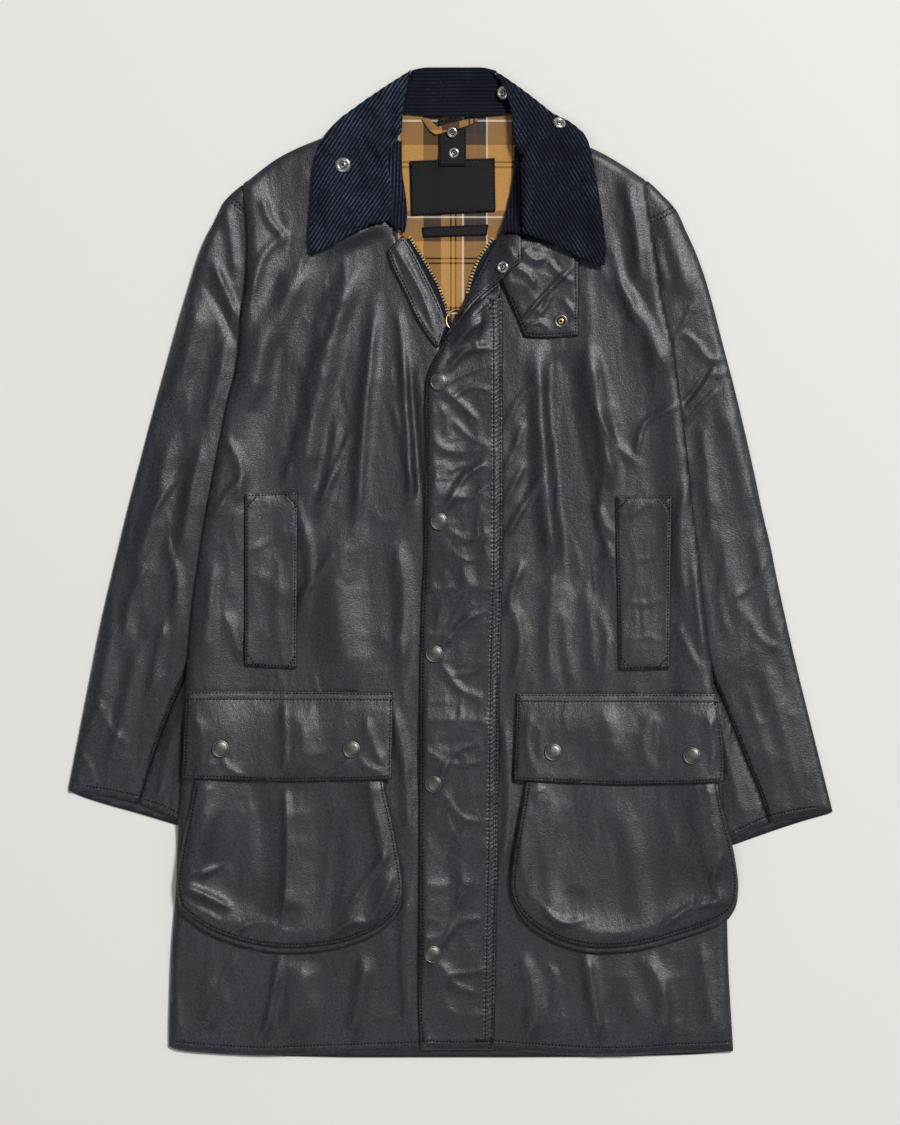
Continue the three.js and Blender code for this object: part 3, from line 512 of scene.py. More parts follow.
# Small moves of an outline near a sheet place: place, move and reach
EASED = {
    "sleeve_top_right": [((241, 191), (-0.5, -5.0), 26), ((226, 205), (-2.5, -2.0), 22)],
    "sleeve_top_left": [((647, 184), (0.5, -2.5), 18), ((676, 212), (1.5, -1.0), 20)],
    "front_right": [((244, 186), (-0.6, -1.0), 8)],
    "facing_left": [((460, 322), (1.8, 1.8), 24)],
    "storm_fly": [((460, 322), (-2.0, -2.0), 26)],
    "collar_band_back": [((416, 68), (-4.6, 2.8), 9), ((491, 68), (5.2, 3.0), 9)],
    "collar_leaf_right": [((312, 251), (-1.5, 3.2), 8), ((402, 150), (-12.0, 0.0), 16)],
    "collar_leaf_left": [
        ((604, 265), (2.0, 2.6), 9),
        ((513.5, 156), (6.0, 0.0), 14),
        ((496, 72.5), (-4.0, -1.6), 8),
    ],
}


def eased(name, outline):
    """The outline with its small moves, which pull less the further they are."""
    if name not in EASED:
        return outline
    outline = dense(outline, 1.5)
    for place, move, reach in EASED[name]:
        away = np.hypot(*(outline - on_sheet([place])[0]).T)
        outline = outline + np.clip(1 - away / reach, 0, 1)[:, None] * [move[0], -move[1]]
    return outline


def crease_height(rows, x, y):
    """What the creases of a piece add at each place."""
    total = np.zeros(np.shape(x))
    for path, width, height in rows:
        line = dense(smooth_line(on_sheet(path)), 3.0, closed=False)
        low, high = line.min(axis=0) - width, line.max(axis=0) + width
        near = (x > low[0]) & (x < high[0]) & (y > low[1]) & (y < high[1])
        if not near.any():
            continue
        away, index = distance_to(line, x[near], y[near])
        # its width wanders, and narrow creases have keener crests than wide ones
        wander = 0.85 + 0.3 * noise(x[near], y[near], 30, SEED + len(line))
        share = np.clip(2 * away / (width * wander), 0, 1)
        keen = np.clip((40 - width) / 24, 0.1, 0.85)
        profile = (1 - share) ** 2 * (1 + 2 * share * (1 - keen))
        # it runs out over a fifth of its length at each end
        along = index / max(1, len(line) - 1)
        fade = np.clip(np.minimum(along, 1 - along) * 5 + 0.12, 0, 1)
        total[near] += 2.0 * height * profile * fade
    return total


def crumple(x, y, amount, seed, grain):
    """The small uneven creases of waxed cloth in three sizes, longer along the warp, in patches."""
    bend = 14 * (noise(x, y, 60, seed + 5) - 0.5)
    u, v = (x + bend) * grain[0], (y - bend) * grain[1]
    patches = 0.35 + 0.9 * noise(x, y, 90, seed + 9)
    large = 2.6 * noise(u, v, 44, seed) + 0.9 * ridges(u, v, 38, seed + 3)
    middle = 0.34 * ridges(u + 0.35 * v, v * 1.3, 17, seed + 1)
    small = 0.12 * ridges(x - 0.4 * y, y, 9, seed + 2)
    return 1.5 * amount * patches * (large + middle + small)


# Meshes
def bound_edges(quads):
    """Edges that only one face uses, each in its face's direction."""
    edges = np.concatenate([quads[:, [k, (k + 1) % 4]] for k in range(4)])
    key = np.sort(edges, axis=1)
    order = np.lexsort((key[:, 1], key[:, 0]))
    key, edges = key[order], edges[order]
    same = (key[1:] == key[:-1]).all(axis=1)
    single = ~(np.append(same, False) | np.insert(same, 0, False))
    return edges[single]


def plane_grid(outline, step_u, step_v, degrees=0.0, edge_of=None):
    """Quads that fill an outline, with their rim moved onto it. The grid is turned by `degrees`."""
    spin = turning(degrees)
    local = outline @ spin
    xs, ys = (
        np.arange(math.floor(side.min() / step) - 1, math.ceil(side.max() / step) + 2) * step
        for side, step in ((local[:, 0], step_u), (local[:, 1], step_v))
    )
    inside = rows_inside(local, xs[:-1] + step_u / 2, ys[:-1] + step_v / 2)
    j, i = np.nonzero(inside)
    width = len(xs)
    here, above = j * width + i, (j + 1) * width + i
    corners = np.stack([here, here + 1, above + 1, above], axis=1)
    used, quads = np.unique(corners, return_inverse=True)
    quads = quads.reshape(-1, 4)
    points = np.stack([xs[used % width], ys[used // width]], axis=1)
    rim = bound_edges(quads)
    edge = np.unique(rim)
    line = dense(local, 0.5)
    index = distance_to(line, points[edge, 0], points[edge, 1])[1]
    points[edge] = line[index]
    if edge_of is not None:
        points[edge] += edge_of(points[edge], line, index)
    return points @ spin.T, quads, rim


def make_object(name, points, faces, material, smooth=True):
    """A mesh object from points in mm."""
    mesh = bpy.data.meshes.new(name)
    mesh.from_pydata((np.asarray(points) * MM).tolist(), [], faces)
    mesh.update()
    if smooth:
        mesh.polygons.foreach_set("use_smooth", [True] * len(mesh.polygons))
    made = bpy.data.objects.new(name, mesh)
    bpy.context.scene.collection.objects.link(made)
    if material is not None:
        mesh.materials.append(material)
    return made


def give_values(made, name, values):
    """A number on each point, for the material to read."""
    layer = made.data.attributes.new(name, "FLOAT", "POINT")
    layer.data.foreach_set("value", np.asarray(values, np.float32))


def shell(name, flat, quads, rim, top, wall, material, **values):
    """A closed thin shell: the upper face, the lower one and a wall round the rim."""
    count = len(flat)
    edge = np.unique(rim)
    upper = np.column_stack([flat, top])
    lower = np.column_stack([flat, top - wall])
    # the rim is a little thinner than the rest
    upper[edge, 2] -= 0.15 * wall
    lower[edge, 2] += 0.2 * wall
    wall_faces = np.stack([rim[:, 1], rim[:, 0], rim[:, 0] + count, rim[:, 1] + count], axis=1)
    faces = np.concatenate([quads, quads[:, ::-1] + count, wall_faces])
    made = make_object(name, np.concatenate([upper, lower]), faces.tolist(), material)
    for key, numbers in values.items():
        give_values(made, key, np.concatenate([numbers, numbers]))
    return made


# Laying the cloth
def rim_distance(outline, x, y, inside, reach):
    """How far each place inside lies from the outline, up to `reach`."""
    band = inside & (highest_near((~inside).astype(float), reach) > 0)
    away = np.where(inside, reach, 0.0)
    away[band] = np.minimum(distance_to(dense(outline, 2.0), x[band], y[band])[0], reach)
    return away


def lie(
    name, wall, amount=0.0, loft=0.0, edge_drop=0.0, soft=4.0, extra=None, seed=0, reach=11.0,
    grain=WARP_GRAIN, rim=0.4,
):
    """Lays a piece on the pile: its underside follows what is below, and its own creases come on top.

    amount is the strength of its small creases, and loft its height over what lies below. edge_drop lowers
    its edge, where rim of the creases' height is left. soft smooths what is below, and reach is how far in
    from the edge `extra` is told the distance.
    """
    global pile
    outline = eased(name, rounded(node_outline(name)))
    outlines[name] = outline
    low, high = outline.min(axis=0) - 12, outline.max(axis=0) + 12
    cols = slice(*np.searchsorted(MAP_X, [low[0], high[0]]))
    rows = slice(*np.searchsorted(MAP_Y, [low[1], high[1]]))
    x, y, below = XX[rows, cols], YY[rows, cols], pile[rows, cols]
    inside = rows_inside(outline, MAP_X[cols], MAP_Y[rows])
    under = blur(highest_near(below, soft * 0.8), soft)
    under = np.maximum(under, below) + GAP
    away = rim_distance(outline, x, y, inside, reach)
    relief = loft + crumple(x, y, amount, SEED + seed, grain) + crease_height(CREASES.get(name, []), x, y)
    for place, radius, height in ROOM.get(name, []):
        px, py = on_sheet([place])[0]
        relief += height * np.clip(1.4 * (1 - np.hypot(x - px, y - py) / radius), 0, 1) ** 2
    if extra is not None:
        relief = relief + extra(away)
    settle = np.clip(away / HEM, 0, 1)
    relief = np.maximum(relief, 0) * (rim + (1 - rim) * settle)
    relief -= edge_drop * np.clip(1 - away / HEM, 0, 1) ** 2
    top = under + wall + relief
    tops[name] = np.zeros_like(pile)
    tops[name][rows, cols] = top
    fresh = pile.copy()
    fresh[rows, cols] = np.where(inside, top, below)
    return fresh


def lay_all(table):
    """Lays each layer. Pieces of one layer lie side by side, so each sees the pile below the layer."""
    global pile
    for layer in table:
        fresh = [lie(**piece) for piece in layer]
        for one in fresh:
            pile = np.maximum(pile, one)


def cloth(name, wall, material, step):
    """Makes the finished shell of a laid piece, with what its material reads on each point."""
    flat, quads, rim = plane_grid(outlines[name], step, step)
    top = sample(tops[name], flat[:, 0], flat[:, 1])
    crest = top - sample(blur(tops[name], 8.0), flat[:, 0], flat[:, 1])
    beside, apart, along = row_values(name, flat)
    quilted = np.full(len(flat), 1.0 if name == "storm_fly" else 0.2)
    values = dict(crest=crest, beside_row=beside, from_row=apart, along_row=along, quilted=quilted)
    made = shell(name + "_cloth", flat, quads, rim, top, wall, material, **values)
    finish_cloth(made, name)


def row_values(name, flat):
    """Each point's signed and plain distance from the nearest stitch row, and how far along it is."""
    beside, along = np.full(len(flat), FAR), np.zeros(len(flat))
    for row in sewn.get(name, []):
        low, high = row.min(axis=0) - ROW_REACH, row.max(axis=0) + ROW_REACH
        near = np.nonzero(((flat > low) & (flat < high)).all(axis=1))[0]
        if not len(near):
            continue
        away, index = distance_to(row, flat[near, 0], flat[near, 1])
        ahead = row[np.minimum(index + 1, len(row) - 1)] - row[np.maximum(index - 1, 0)]
        out = flat[near] - row[index]
        side = np.where(ahead[:, 0] * out[:, 1] - ahead[:, 1] * out[:, 0] < 0, -1.0, 1.0)
        closer = away < np.abs(beside[near])
        beside[near[closer]] = (side * away)[closer]
        along[near[closer]] = index[closer].astype(float)
    return beside, np.abs(beside), along


def finish_cloth(made, name):
    """Attaches a cloth piece to the jacket and hides its CAD node, and works out its area and the smallest
    rectangle round its outline.
    """
    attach(made, JACKET)
    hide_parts(name)
    outline = outlines[name]
    area = abs(signed_area(outline))
    sides = []
    for degrees in range(0, 90, 5):
        size = np.ptp(outline @ turning(degrees), axis=0)
        sides.append((size[0] * size[1], *sorted(size)))
    width, length = min(sides)[1:]
    if width > NARROWEST_SHEET:
        area = min(max(area, LEAST_FILL * width * length), width * length)
        size = (width * MM, length * MM)


# Painted light and shade on the pile of each piece: its colour is made lighter or darker by the way that it
# lies to the light
PAINTED_PILE_LIGHT = {
    "collar_fall_back": 0.8,
    "collar_band_back": 0.74,
    "collar_stand_right": 0.95,
    "collar_stand_left": 0.8,
    "collar_leaf_right": 1.15,
    "collar_leaf_left": 0.92,
}


def corduroy(name, wall, material, degrees):
    """Makes a laid piece of corduroy, with its ribs as real relief and an edge that they scallop."""

    def scallop(points, line, index):
        """Moves the rim out and in with the ribs that end there."""
        ahead = line[(index + 3) % len(line)] - line[index - 3]
        outward = np.stack([ahead[:, 1], -ahead[:, 0]], axis=1)
        outward /= np.maximum(np.linalg.norm(outward, axis=1), 1e-6)[:, None]
        ribbed = np.cos(2 * math.pi * points[:, 1] / WALE)
        return outward * (0.45 * ribbed * np.abs(outward[:, 0]))[:, None]

    flat, quads, rim = plane_grid(outlines[name], 3.0, WALE / 5, degrees, scallop)
    turn = math.radians(degrees)
    across = flat[:, 1] * math.cos(turn) - flat[:, 0] * math.sin(turn)
    along = flat[:, 0] * math.cos(turn) + flat[:, 1] * math.sin(turn)
    drift = 1.4 * (noise(flat[:, 0], flat[:, 1], 38, SEED + 3) - 0.5)
    rib = (0.5 + 0.5 * np.cos(2 * math.pi * (across + drift) / WALE)) ** 0.7
    height = (0.7 if name == "collar_band_back" else 1.05) * (0.8 + 0.4 * noise(along, across, 7, SEED + 4))
    top = sample(tops[name], flat[:, 0], flat[:, 1]) + rib * height
    crest = top - sample(blur(tops[name], 8.0), flat[:, 0], flat[:, 1])
    # the ribs' colour number also carries each piece's painted light and shade
    rib *= PAINTED_PILE_LIGHT[name]
    made = shell(name + "_cloth", flat, quads, rim, top, wall, material, rib=rib, crest=crest)
    finish_cloth(made, name)


# Materials
def linear(colour):
    """A colour given as sRGB hex, as linear red, green, blue and alpha."""
    parts = [int(colour[i : i + 2], 16) / 255 for i in (1, 3, 5)]
    return [c / 12.92 if c <= 0.04045 else ((c + 0.055) / 1.055) ** 2.4 for c in parts] + [1.0]


def add(tree, kind, inputs=None, **settings):
    """Adds a node with its settings, and gives its inputs a value or a link."""
    made = tree.nodes.new(kind)
    for key, value in settings.items():
        setattr(made, key, value)
    for key, value in (inputs or {}).items():
        if isinstance(value, bpy.types.NodeSocket):
            tree.links.new(value, made.inputs[key])
        else:
            made.inputs[key].default_value = value
    return made


def maths(tree, operation, *numbers, clamp=False):
    """A sum on values or links."""
    made = add(tree, "ShaderNodeMath", dict(enumerate(numbers)), operation=operation, use_clamp=clamp)
    return made.outputs["Value"]


def spread(tree, value, low, high, to_low=0.0, to_high=1.0):
    """Stretches a value's range to another range, and holds it in there."""
    inputs = {"Value": value, "From Min": low, "From Max": high, "To Min": to_low, "To Max": to_high}
    return add(tree, "ShaderNodeMapRange", inputs).outputs["Result"]


def noise_at(tree, place, scale, detail, roughness=0.5):
    """Plain noise, with its scale in repeats to the metre."""
    inputs = {"Vector": place, "Scale": scale, "Detail": detail, "Roughness": roughness}
    return add(tree, "ShaderNodeTexNoise", inputs).outputs["Fac"]


def mixed(tree, factor, first, second, blend="MIX"):
    """Two colours mixed."""
    inputs = {0: factor, 6: first, 7: second}
    return add(tree, "ShaderNodeMix", inputs, data_type="RGBA", blend_type=blend).outputs[2]


def carried(tree, name):
    """A number that the mesh carries on each point."""
    return add(tree, "ShaderNodeAttribute", attribute_name=name).outputs["Fac"]


def bumped(tree, strength, distance, height, under=None):
    """A bump, on top of another one where it is given."""
    inputs = {"Strength": strength, "Distance": distance, "Height": height}
    if under is not None:
        inputs["Normal"] = under
    return add(tree, "ShaderNodeBump", inputs).outputs["Normal"]


def ramp(tree, factor, stops, constant=False):
    """A colour ramp with stops (place, sRGB hex or grey value)."""
    made = add(tree, "ShaderNodeValToRGB", {"Fac": factor})
    made.color_ramp.interpolation = "CONSTANT" if constant else "LINEAR"
    elements = made.color_ramp.elements
    while len(elements) < len(stops):
        elements.new(0.5)
    for element, (place, value) in zip(elements, stops):
        element.position = place
        element.color = linear(value) if isinstance(value, str) else (value, value, value, 1)
    return made.outputs["Color"]


def new_material(name, colour, **principled):
    """A material with a Principled shader. Returns it, its tree, the shader's inputs and the place."""
    material = bpy.data.materials.new(name)
    material.use_nodes = True
    tree = material.node_tree
    shader = next(n for n in tree.nodes if n.type == "BSDF_PRINCIPLED")
    shader.inputs["Base Color"].default_value = linear(colour)
    for key, value in principled.items():
        shader.inputs[key.replace("_", " ")].default_value = value
    return material, tree, shader.inputs, add(tree, "ShaderNodeTexCoord").outputs["Object"]


def waxed_cotton():
    """Waxed cotton: dense dark cloth whose wax gives a broad soft sheen, paler where it has cracked, with a
    painted highlight on the crests that stand up.
    """
    material, tree, shader, place = new_material("waxed_cotton", "#1b1c20", Specular_IOR_Level=0.62)
    # the warp runs down the jacket, so the fine creases are longer that way
    warp = add(tree, "ShaderNodeMapping", {"Vector": place, "Scale": (1.0, 0.42, 1.0)}).outputs["Vector"]
    patches = noise_at(tree, place, 11.0, 5.0, 0.62)
    stain = noise_at(tree, warp, 150.0, 5.0, 0.66)
    speck = noise_at(tree, place, 520.0, 3.0, 0.8)
    # a plain weave has 20 threads to the centimetre: this grain of 1.3 mm is coarser, so that it shows
    grain = noise_at(tree, place, 760.0, 2.0, 0.6)
    branching = {"Scale": 52.0, "Detail": 6.0, "Roughness": 0.62, "Lacunarity": 2.1, "Distortion": 0.5}
    ridged = {"noise_type": "RIDGED_MULTIFRACTAL", "normalize": True}
    crack = add(tree, "ShaderNodeTexNoise", {"Vector": warp, **branching}, **ridged).outputs["Fac"]

    # colour: a dark ground with lint in the wax, and paler cracks on the crests that stand up, partly worn
    # wax and partly a painted highlight on the crests
    ground = ramp(tree, patches, [(0.3, "#14151a"), (0.7, "#1d1f27")])
    ground = mixed(tree, 1.0, ground, ramp(tree, speck, [(0.38, 0.3), (0.64, 2.7)]), "MULTIPLY")
    crest_highlight_mask = spread(tree, carried(tree, "crest"), 0.9, 4.0)
    wax_wear_and_crest_highlight = maths(tree, "MULTIPLY_ADD", crest_highlight_mask, 0.3, 0.1)
    wax_wear_and_crest_highlight = maths(tree, "MULTIPLY", wax_wear_and_crest_highlight, spread(tree, crack, 0.42, 0.85), clamp=True)
    tree.links.new(mixed(tree, wax_wear_and_crest_highlight, ground, linear("#525869")), shader["Base Color"])

    # beside a stitch row the cloth is drawn in, with a small pucker at each second stitch
    beyond = maths(tree, "SUBTRACT", carried(tree, "from_row"), 2.0)
    apart = maths(tree, "MAXIMUM", maths(tree, "ABSOLUTE", carried(tree, "beside_row")), beyond)
    wave = maths(tree, "MULTIPLY", carried(tree, "along_row"), 2 * math.pi / PUCKER)
    wave = maths(tree, "SINE", maths(tree, "MULTIPLY_ADD", stain, 5.0, wave))
    drawn = maths(tree, "MULTIPLY", spread(tree, apart, 0.5, 5.5, 1.0, 0.0), carried(tree, "quilted"))
    pucker = maths(tree, "MULTIPLY", wave, drawn)
    sewing = maths(tree, "MULTIPLY_ADD", pucker, 0.5, spread(tree, apart, 0.0, 1.8))

    # sheen: smoother where wax fills the weave, duller along the needle holes
    needled = spread(tree, apart, 0.4, 1.3, 0.08, 0.0)
    dull = maths(tree, "ADD", spread(tree, speck, 0.34, 0.66, 0.5, 0.34), needled)
    tree.links.new(dull, shader["Roughness"])

    # relief: cracked creases in calm and lively patches, then the weave, then the sewing
    crinkle = maths(tree, "MULTIPLY", crack, spread(tree, patches, 0.36, 0.64, 0.35))
    normal = bumped(tree, 1.0, 0.0018, crinkle)
    normal = bumped(tree, 1.0, 0.0004, stain, normal)
    normal = bumped(tree, 1.0, 0.00032, grain, normal)
    tree.links.new(bumped(tree, 0.8, 0.00035, sewing, normal), shader["Normal"])
    return material


def corduroy_pile():
    """Cotton corduroy: a brushed pile, with painted shade in its grooves and a painted bluish highlight along
    the crests.
    """
    brushed = {"Roughness": 0.9, "Sheen_Weight": 0.10, "Sheen_Roughness": 0.45, "Specular_IOR_Level": 0.2}
    material, tree, shader, place = new_material("corduroy_pile", "#0d1320", **brushed)
    shader["Sheen Tint"].default_value = linear("#8fa0c8")
    fibres = noise_at(tree, place, 380.0, 4.0, 0.7)
    rubbed = spread(tree, noise_at(tree, place, 26.0, 6.0, 0.7), 0.3, 0.7, 0.35)
    pile_and_painted_light = maths(tree, "MULTIPLY_ADD", maths(tree, "MULTIPLY", rubbed, fibres), 1.2, 0.25)
    pile_and_painted_light = maths(tree, "MULTIPLY", pile_and_painted_light, carried(tree, "rib"))
    # painted shade in the grooves and a painted bluish highlight along the crests of the ribs
    tone = ramp(tree, pile_and_painted_light, [(0.14, "#04050a"), (0.5, "#111826"), (0.9, "#424f6b")])
    tree.links.new(tone, shader["Base Color"])
    tree.links.new(bumped(tree, 0.7, 0.0007, fibres), shader["Normal"])
    return material


CHECK = {"warp": 88.0, "weft": 96.0}  # mm in one repeat of the lining's check
WARP_BANDS = [
    (0.0, "#b9894d"), (0.22, "#4a3626"), (0.42, "#b9894d"), (0.52, "#100e10"), (0.54, "#b9894d"),
    (0.575, "#100e10"), (0.595, "#a87c47"), (0.66, "#e4ddcf"), (0.68, "#3a3836"), (0.80, "#7d2730"),
    (0.815, "#3a3836"), (0.93, "#e4ddcf"), (0.95, "#b9894d"),
]
WEFT_BANDS = [
    (0.0, "#bd8d50"), (0.22, "#100e10"), (0.24, "#bd8d50"), (0.27, "#100e10"), (0.29, "#bd8d50"),
    (0.46, "#57402c"), (0.58, "#3e3b39"), (0.70, "#e4ddcf"), (0.72, "#3e3b39"), (0.78, "#bd8d50"),
]
TWILL = 0.0016  # m from one twill line to the next: three times the real step, so that it shows


def check_lining(name, shift_x, shift_y):
    """Brushed cotton check: a matt face where each crossing shows warp and weft together."""
    brushed = {"Roughness": 0.88, "Sheen_Weight": 0.2, "Specular_IOR_Level": 0.2}
    material, tree, shader, place = new_material(name, "#a0764a", **brushed)
    axes = add(tree, "ShaderNodeSeparateXYZ", {"Vector": place}).outputs
    bands = []
    for axis, size, shift, table in (
        ("X", CHECK["warp"], shift_x, WARP_BANDS),
        ("Y", CHECK["weft"], shift_y, WEFT_BANDS),
    ):
        moved = maths(tree, "ADD", maths(tree, "MULTIPLY", axes[axis], 1 / (size * MM)), shift + 20)
        bands.append(ramp(tree, maths(tree, "FRACT", moved), table, constant=True))
    diagonal = maths(tree, "ADD", axes["X"], axes["Y"])
    twill = maths(tree, "SINE", maths(tree, "MULTIPLY", diagonal, 2 * math.pi / TWILL))
    woven = mixed(tree, spread(tree, twill, -1.0, 1.0, 0.3, 0.68), *bands)
    nap = noise_at(tree, place, 500.0, 4.0, 0.7)
    shaded = mixed(tree, 1.0, woven, spread(tree, nap, 0.2, 0.8, 0.78, 1.12), "MULTIPLY")
    tree.links.new(shaded, shader["Base Color"])
    tree.links.new(bumped(tree, 0.3, 0.0002, nap), shader["Normal"])
    return material


def ribbed_weave(name, colour, light, rib_mm, roughness, strength=0.5):
    """Woven tape, webbing or label: cross ribs with a painted highlight in a lighter colour on each, drawn
    coarser than real.
    """
    material, tree, shader, place = new_material(name, colour, Roughness=roughness, Specular_IOR_Level=0.22)
    down = add(tree, "ShaderNodeSeparateXYZ", {"Vector": place}).outputs["Y"]
    wave = maths(tree, "SINE", maths(tree, "MULTIPLY", down, 2 * math.pi / (rib_mm * MM)))
    rib_relief_and_highlight = maths(tree, "MULTIPLY", spread(tree, wave, -1.0, 1.0), noise_at(tree, place, 600.0, 3.0))
    tree.links.new(mixed(tree, rib_relief_and_highlight, linear(colour), linear(light)), shader["Base Color"])
    tree.links.new(bumped(tree, strength, 0.0002, rib_relief_and_highlight), shader["Normal"])
    return material


def worn_metal(name, colour, dark, roughness):
    """Plated or solid metal, cloudy and duller where hands have touched it."""
    material, tree, shader, place = new_material(name, colour, Metallic=1.0)
    cloud = noise_at(tree, place, 260.0, 5.0, 0.6)
    tree.links.new(mixed(tree, cloud, linear(dark), linear(colour)), shader["Base Color"])
    dull = spread(tree, cloud, 0.3, 0.7, roughness - 0.06, roughness + 0.1)
    tree.links.new(dull, shader["Roughness"])
    return material


WAXED = waxed_cotton()
CORDUROY = corduroy_pile()
LINING = check_lining("check_lining_cotton", 0.53, 0.12)
LOOP = check_lining("check_lining_cut_across", 0.32, 0.97)
LABEL = ribbed_weave("woven_label_satin", "#0a0a0b", "#161618", 0.7, 0.62, 0.25)
WEBBING = ribbed_weave("cotton_webbing", "#0c0c0e", "#2a2b2f", 1.6, 0.75, 0.9)
TAPE = ribbed_weave("zip_tape_weave", "#0d1422", "#1c253a", 1.2, 0.8)
GUNMETAL = worn_metal("gunmetal_plating", "#7a7a76", "#4e4e4a", 0.38)
NICKEL = worn_metal("nickel_plating", "#d8d6d0", "#b4b2ac", 0.22)
BRASS = worn_metal("polished_brass", "#f4d797", "#c4944b", 0.3)
# navy black polyester thread, nearly matt
THREAD = new_material("sewing_thread", "#060709", Roughness=0.95, Specular_IOR_Level=0.15)[0]
TACK_THREAD = new_material("bar_tack_thread", "#4a5d80", Roughness=0.8)[0]
DARK_HOLE = new_material("shade_in_a_hole", "#0b0b0c", Roughness=0.9)[0]


# Laying, from the surface up, in the order of the solids
def pocket_belly(away):
    """The bellows hold a pocket's rim up, and its middle sags."""
    return 1.6 * np.clip(away / 14, 0, 1) - 1.2 * np.clip((away - 20) / 40, 0, 1)


WELT = dict(wall=SHELL, amount=0.5, loft=0.1, edge_drop=0.3, rim=0.7)
POCKET = dict(wall=SHELL, amount=0.7, loft=0.6, edge_drop=0.4, rim=0.6, soft=8.0)
POCKET.update(extra=pocket_belly, reach=60.0)
FLY = dict(wall=DOUBLE, amount=1.3, loft=0.9, edge_drop=0.7, soft=5.0, grain=BOTH_WAYS)
FLAP = dict(wall=DOUBLE, loft=0.2, edge_drop=0.3, rim=0.75, soft=12.0, grain=BOTH_WAYS)
LEAF = dict(wall=CORD, amount=0.35, loft=3.6, edge_drop=0.5, rim=0.85, soft=11.0)
LAYERS = [
    [
        dict(name="collar_fall_back", wall=CORD),
        dict(name="sleeve_under_right", wall=SHELL),
        dict(name="sleeve_under_left", wall=SHELL),
    ],
    [
        dict(name="sleeve_top_right", wall=SHELL, amount=0.95, loft=1.4, edge_drop=0.7, seed=21),
        dict(name="sleeve_inner_right", wall=SHELL, amount=0.7, loft=1.2, seed=22),
        dict(name="sleeve_top_left", wall=SHELL, amount=0.8, loft=1.4, edge_drop=0.7, seed=23),
        dict(name="sleeve_inner_left", wall=SHELL, amount=0.7, loft=1.2, seed=24),
    ],
    [dict(name="back", wall=SHELL, amount=0.2, soft=6.0, seed=25)],
    [dict(name="lining_back", wall=THIN, amount=0.25, loft=0.3, seed=26)],
    [
        dict(name="label_main", wall=THIN, amount=0.15, loft=0.2, seed=27),
        dict(name="label_small", wall=THIN, amount=0.1, loft=0.1, seed=28),
        dict(name="zip_tape_right", wall=THIN),
        dict(name="zip_tape_left", wall=THIN),
    ],
    [dict(name="hood_tab", wall=1.2, loft=0.3)],
    [dict(name="hanger_loop", wall=1.0, loft=0.4)],
    [
        dict(name="front_right", wall=SHELL, amount=1.0, loft=1.4, edge_drop=0.8, seed=31),
        dict(name="front_left", wall=SHELL, amount=1.0, loft=1.6, edge_drop=0.8, seed=32),
    ],
    [
        dict(name="facing_right", wall=DOUBLE, amount=0.3, loft=0.3, rim=0.8, seed=33),
        dict(name="pocket_gusset_right", wall=GUSSET, soft=6.0),
        dict(name="pocket_gusset_left", wall=GUSSET, soft=6.0),
        dict(name="handwarmer_right", **WELT, seed=34),
        dict(name="handwarmer_left", **WELT, seed=35),
        dict(name="throat_tab", wall=DOUBLE, edge_drop=0.4, amount=1.2, loft=0.8, seed=36, grain=BOTH_WAYS),
    ],
    [
        dict(name="facing_left", wall=DOUBLE, amount=0.3, loft=0.4, seed=37),
        dict(name="storm_fly", **FLY, seed=38),
        dict(name="pocket_right", **POCKET, seed=39),
        dict(name="pocket_left", **POCKET, seed=40),
    ],
    [
        dict(name="flap_right", **FLAP, amount=0.55, seed=41),
        dict(name="flap_left", **FLAP, amount=0.5, seed=42),
    ],
    [
        dict(name="collar_band_back", wall=CORD, soft=6.0),
        dict(name="collar_stand_right", wall=CORD, soft=5.0),
        dict(name="collar_stand_left", wall=CORD, soft=5.0),
    ],
    [
        dict(name="collar_leaf_right", **LEAF, seed=43),
        dict(name="collar_leaf_left", **LEAF, seed=44),
    ],
]
lay_all(LAYERS)


# Stitch rows
# Piece, how far inside its edge the row runs, and the left, top, right and bottom that it keeps within
EDGE_ROWS = [
    ("storm_fly", 2.6, 415, 334, 448, 1040),
    ("storm_fly", 2.4, 486, 298, 506, 1044),
    ("storm_fly", 9.4, 478, 298, 500, 1044),
    ("facing_left", 3.0, 440, 258, 524, 346),
    ("facing_right", 2.6, 380, 236, 440, 352),
    ("throat_tab", 3.0, 512, 244, 582, 342),
    ("handwarmer_right", 1.9, 240, 488, 302, 672),
    ("handwarmer_left", 1.9, 610, 492, 675, 674),
    ("flap_right", 2.6, 180, 700, 396, 784),
    ("flap_left", 2.6, 510, 700, 726, 788),
    ("flap_right", 2.2, 180, 686, 396, 700),
    ("flap_left", 2.2, 510, 688, 726, 701),
    ("pocket_right", 3.6, 170, 782, 410, 950),
    ("pocket_left", 3.6, 504, 784, 742, 950),
    ("collar_leaf_right", 3.4, 308, 130, 400, 256),
    ("collar_leaf_left", 3.4, 524, 120, 606, 270),
    ("hood_tab", 1.6, 436, 118, 468, 168),
    ("label_main", 1.6, 406, 158, 498, 218),
    ("label_small", 1.2, 420, 224, 490, 240),
    ("sleeve_top_right", 2.4, 150, 640, 240, 806),
    ("sleeve_top_left", 2.4, 688, 600, 772, 824),
]
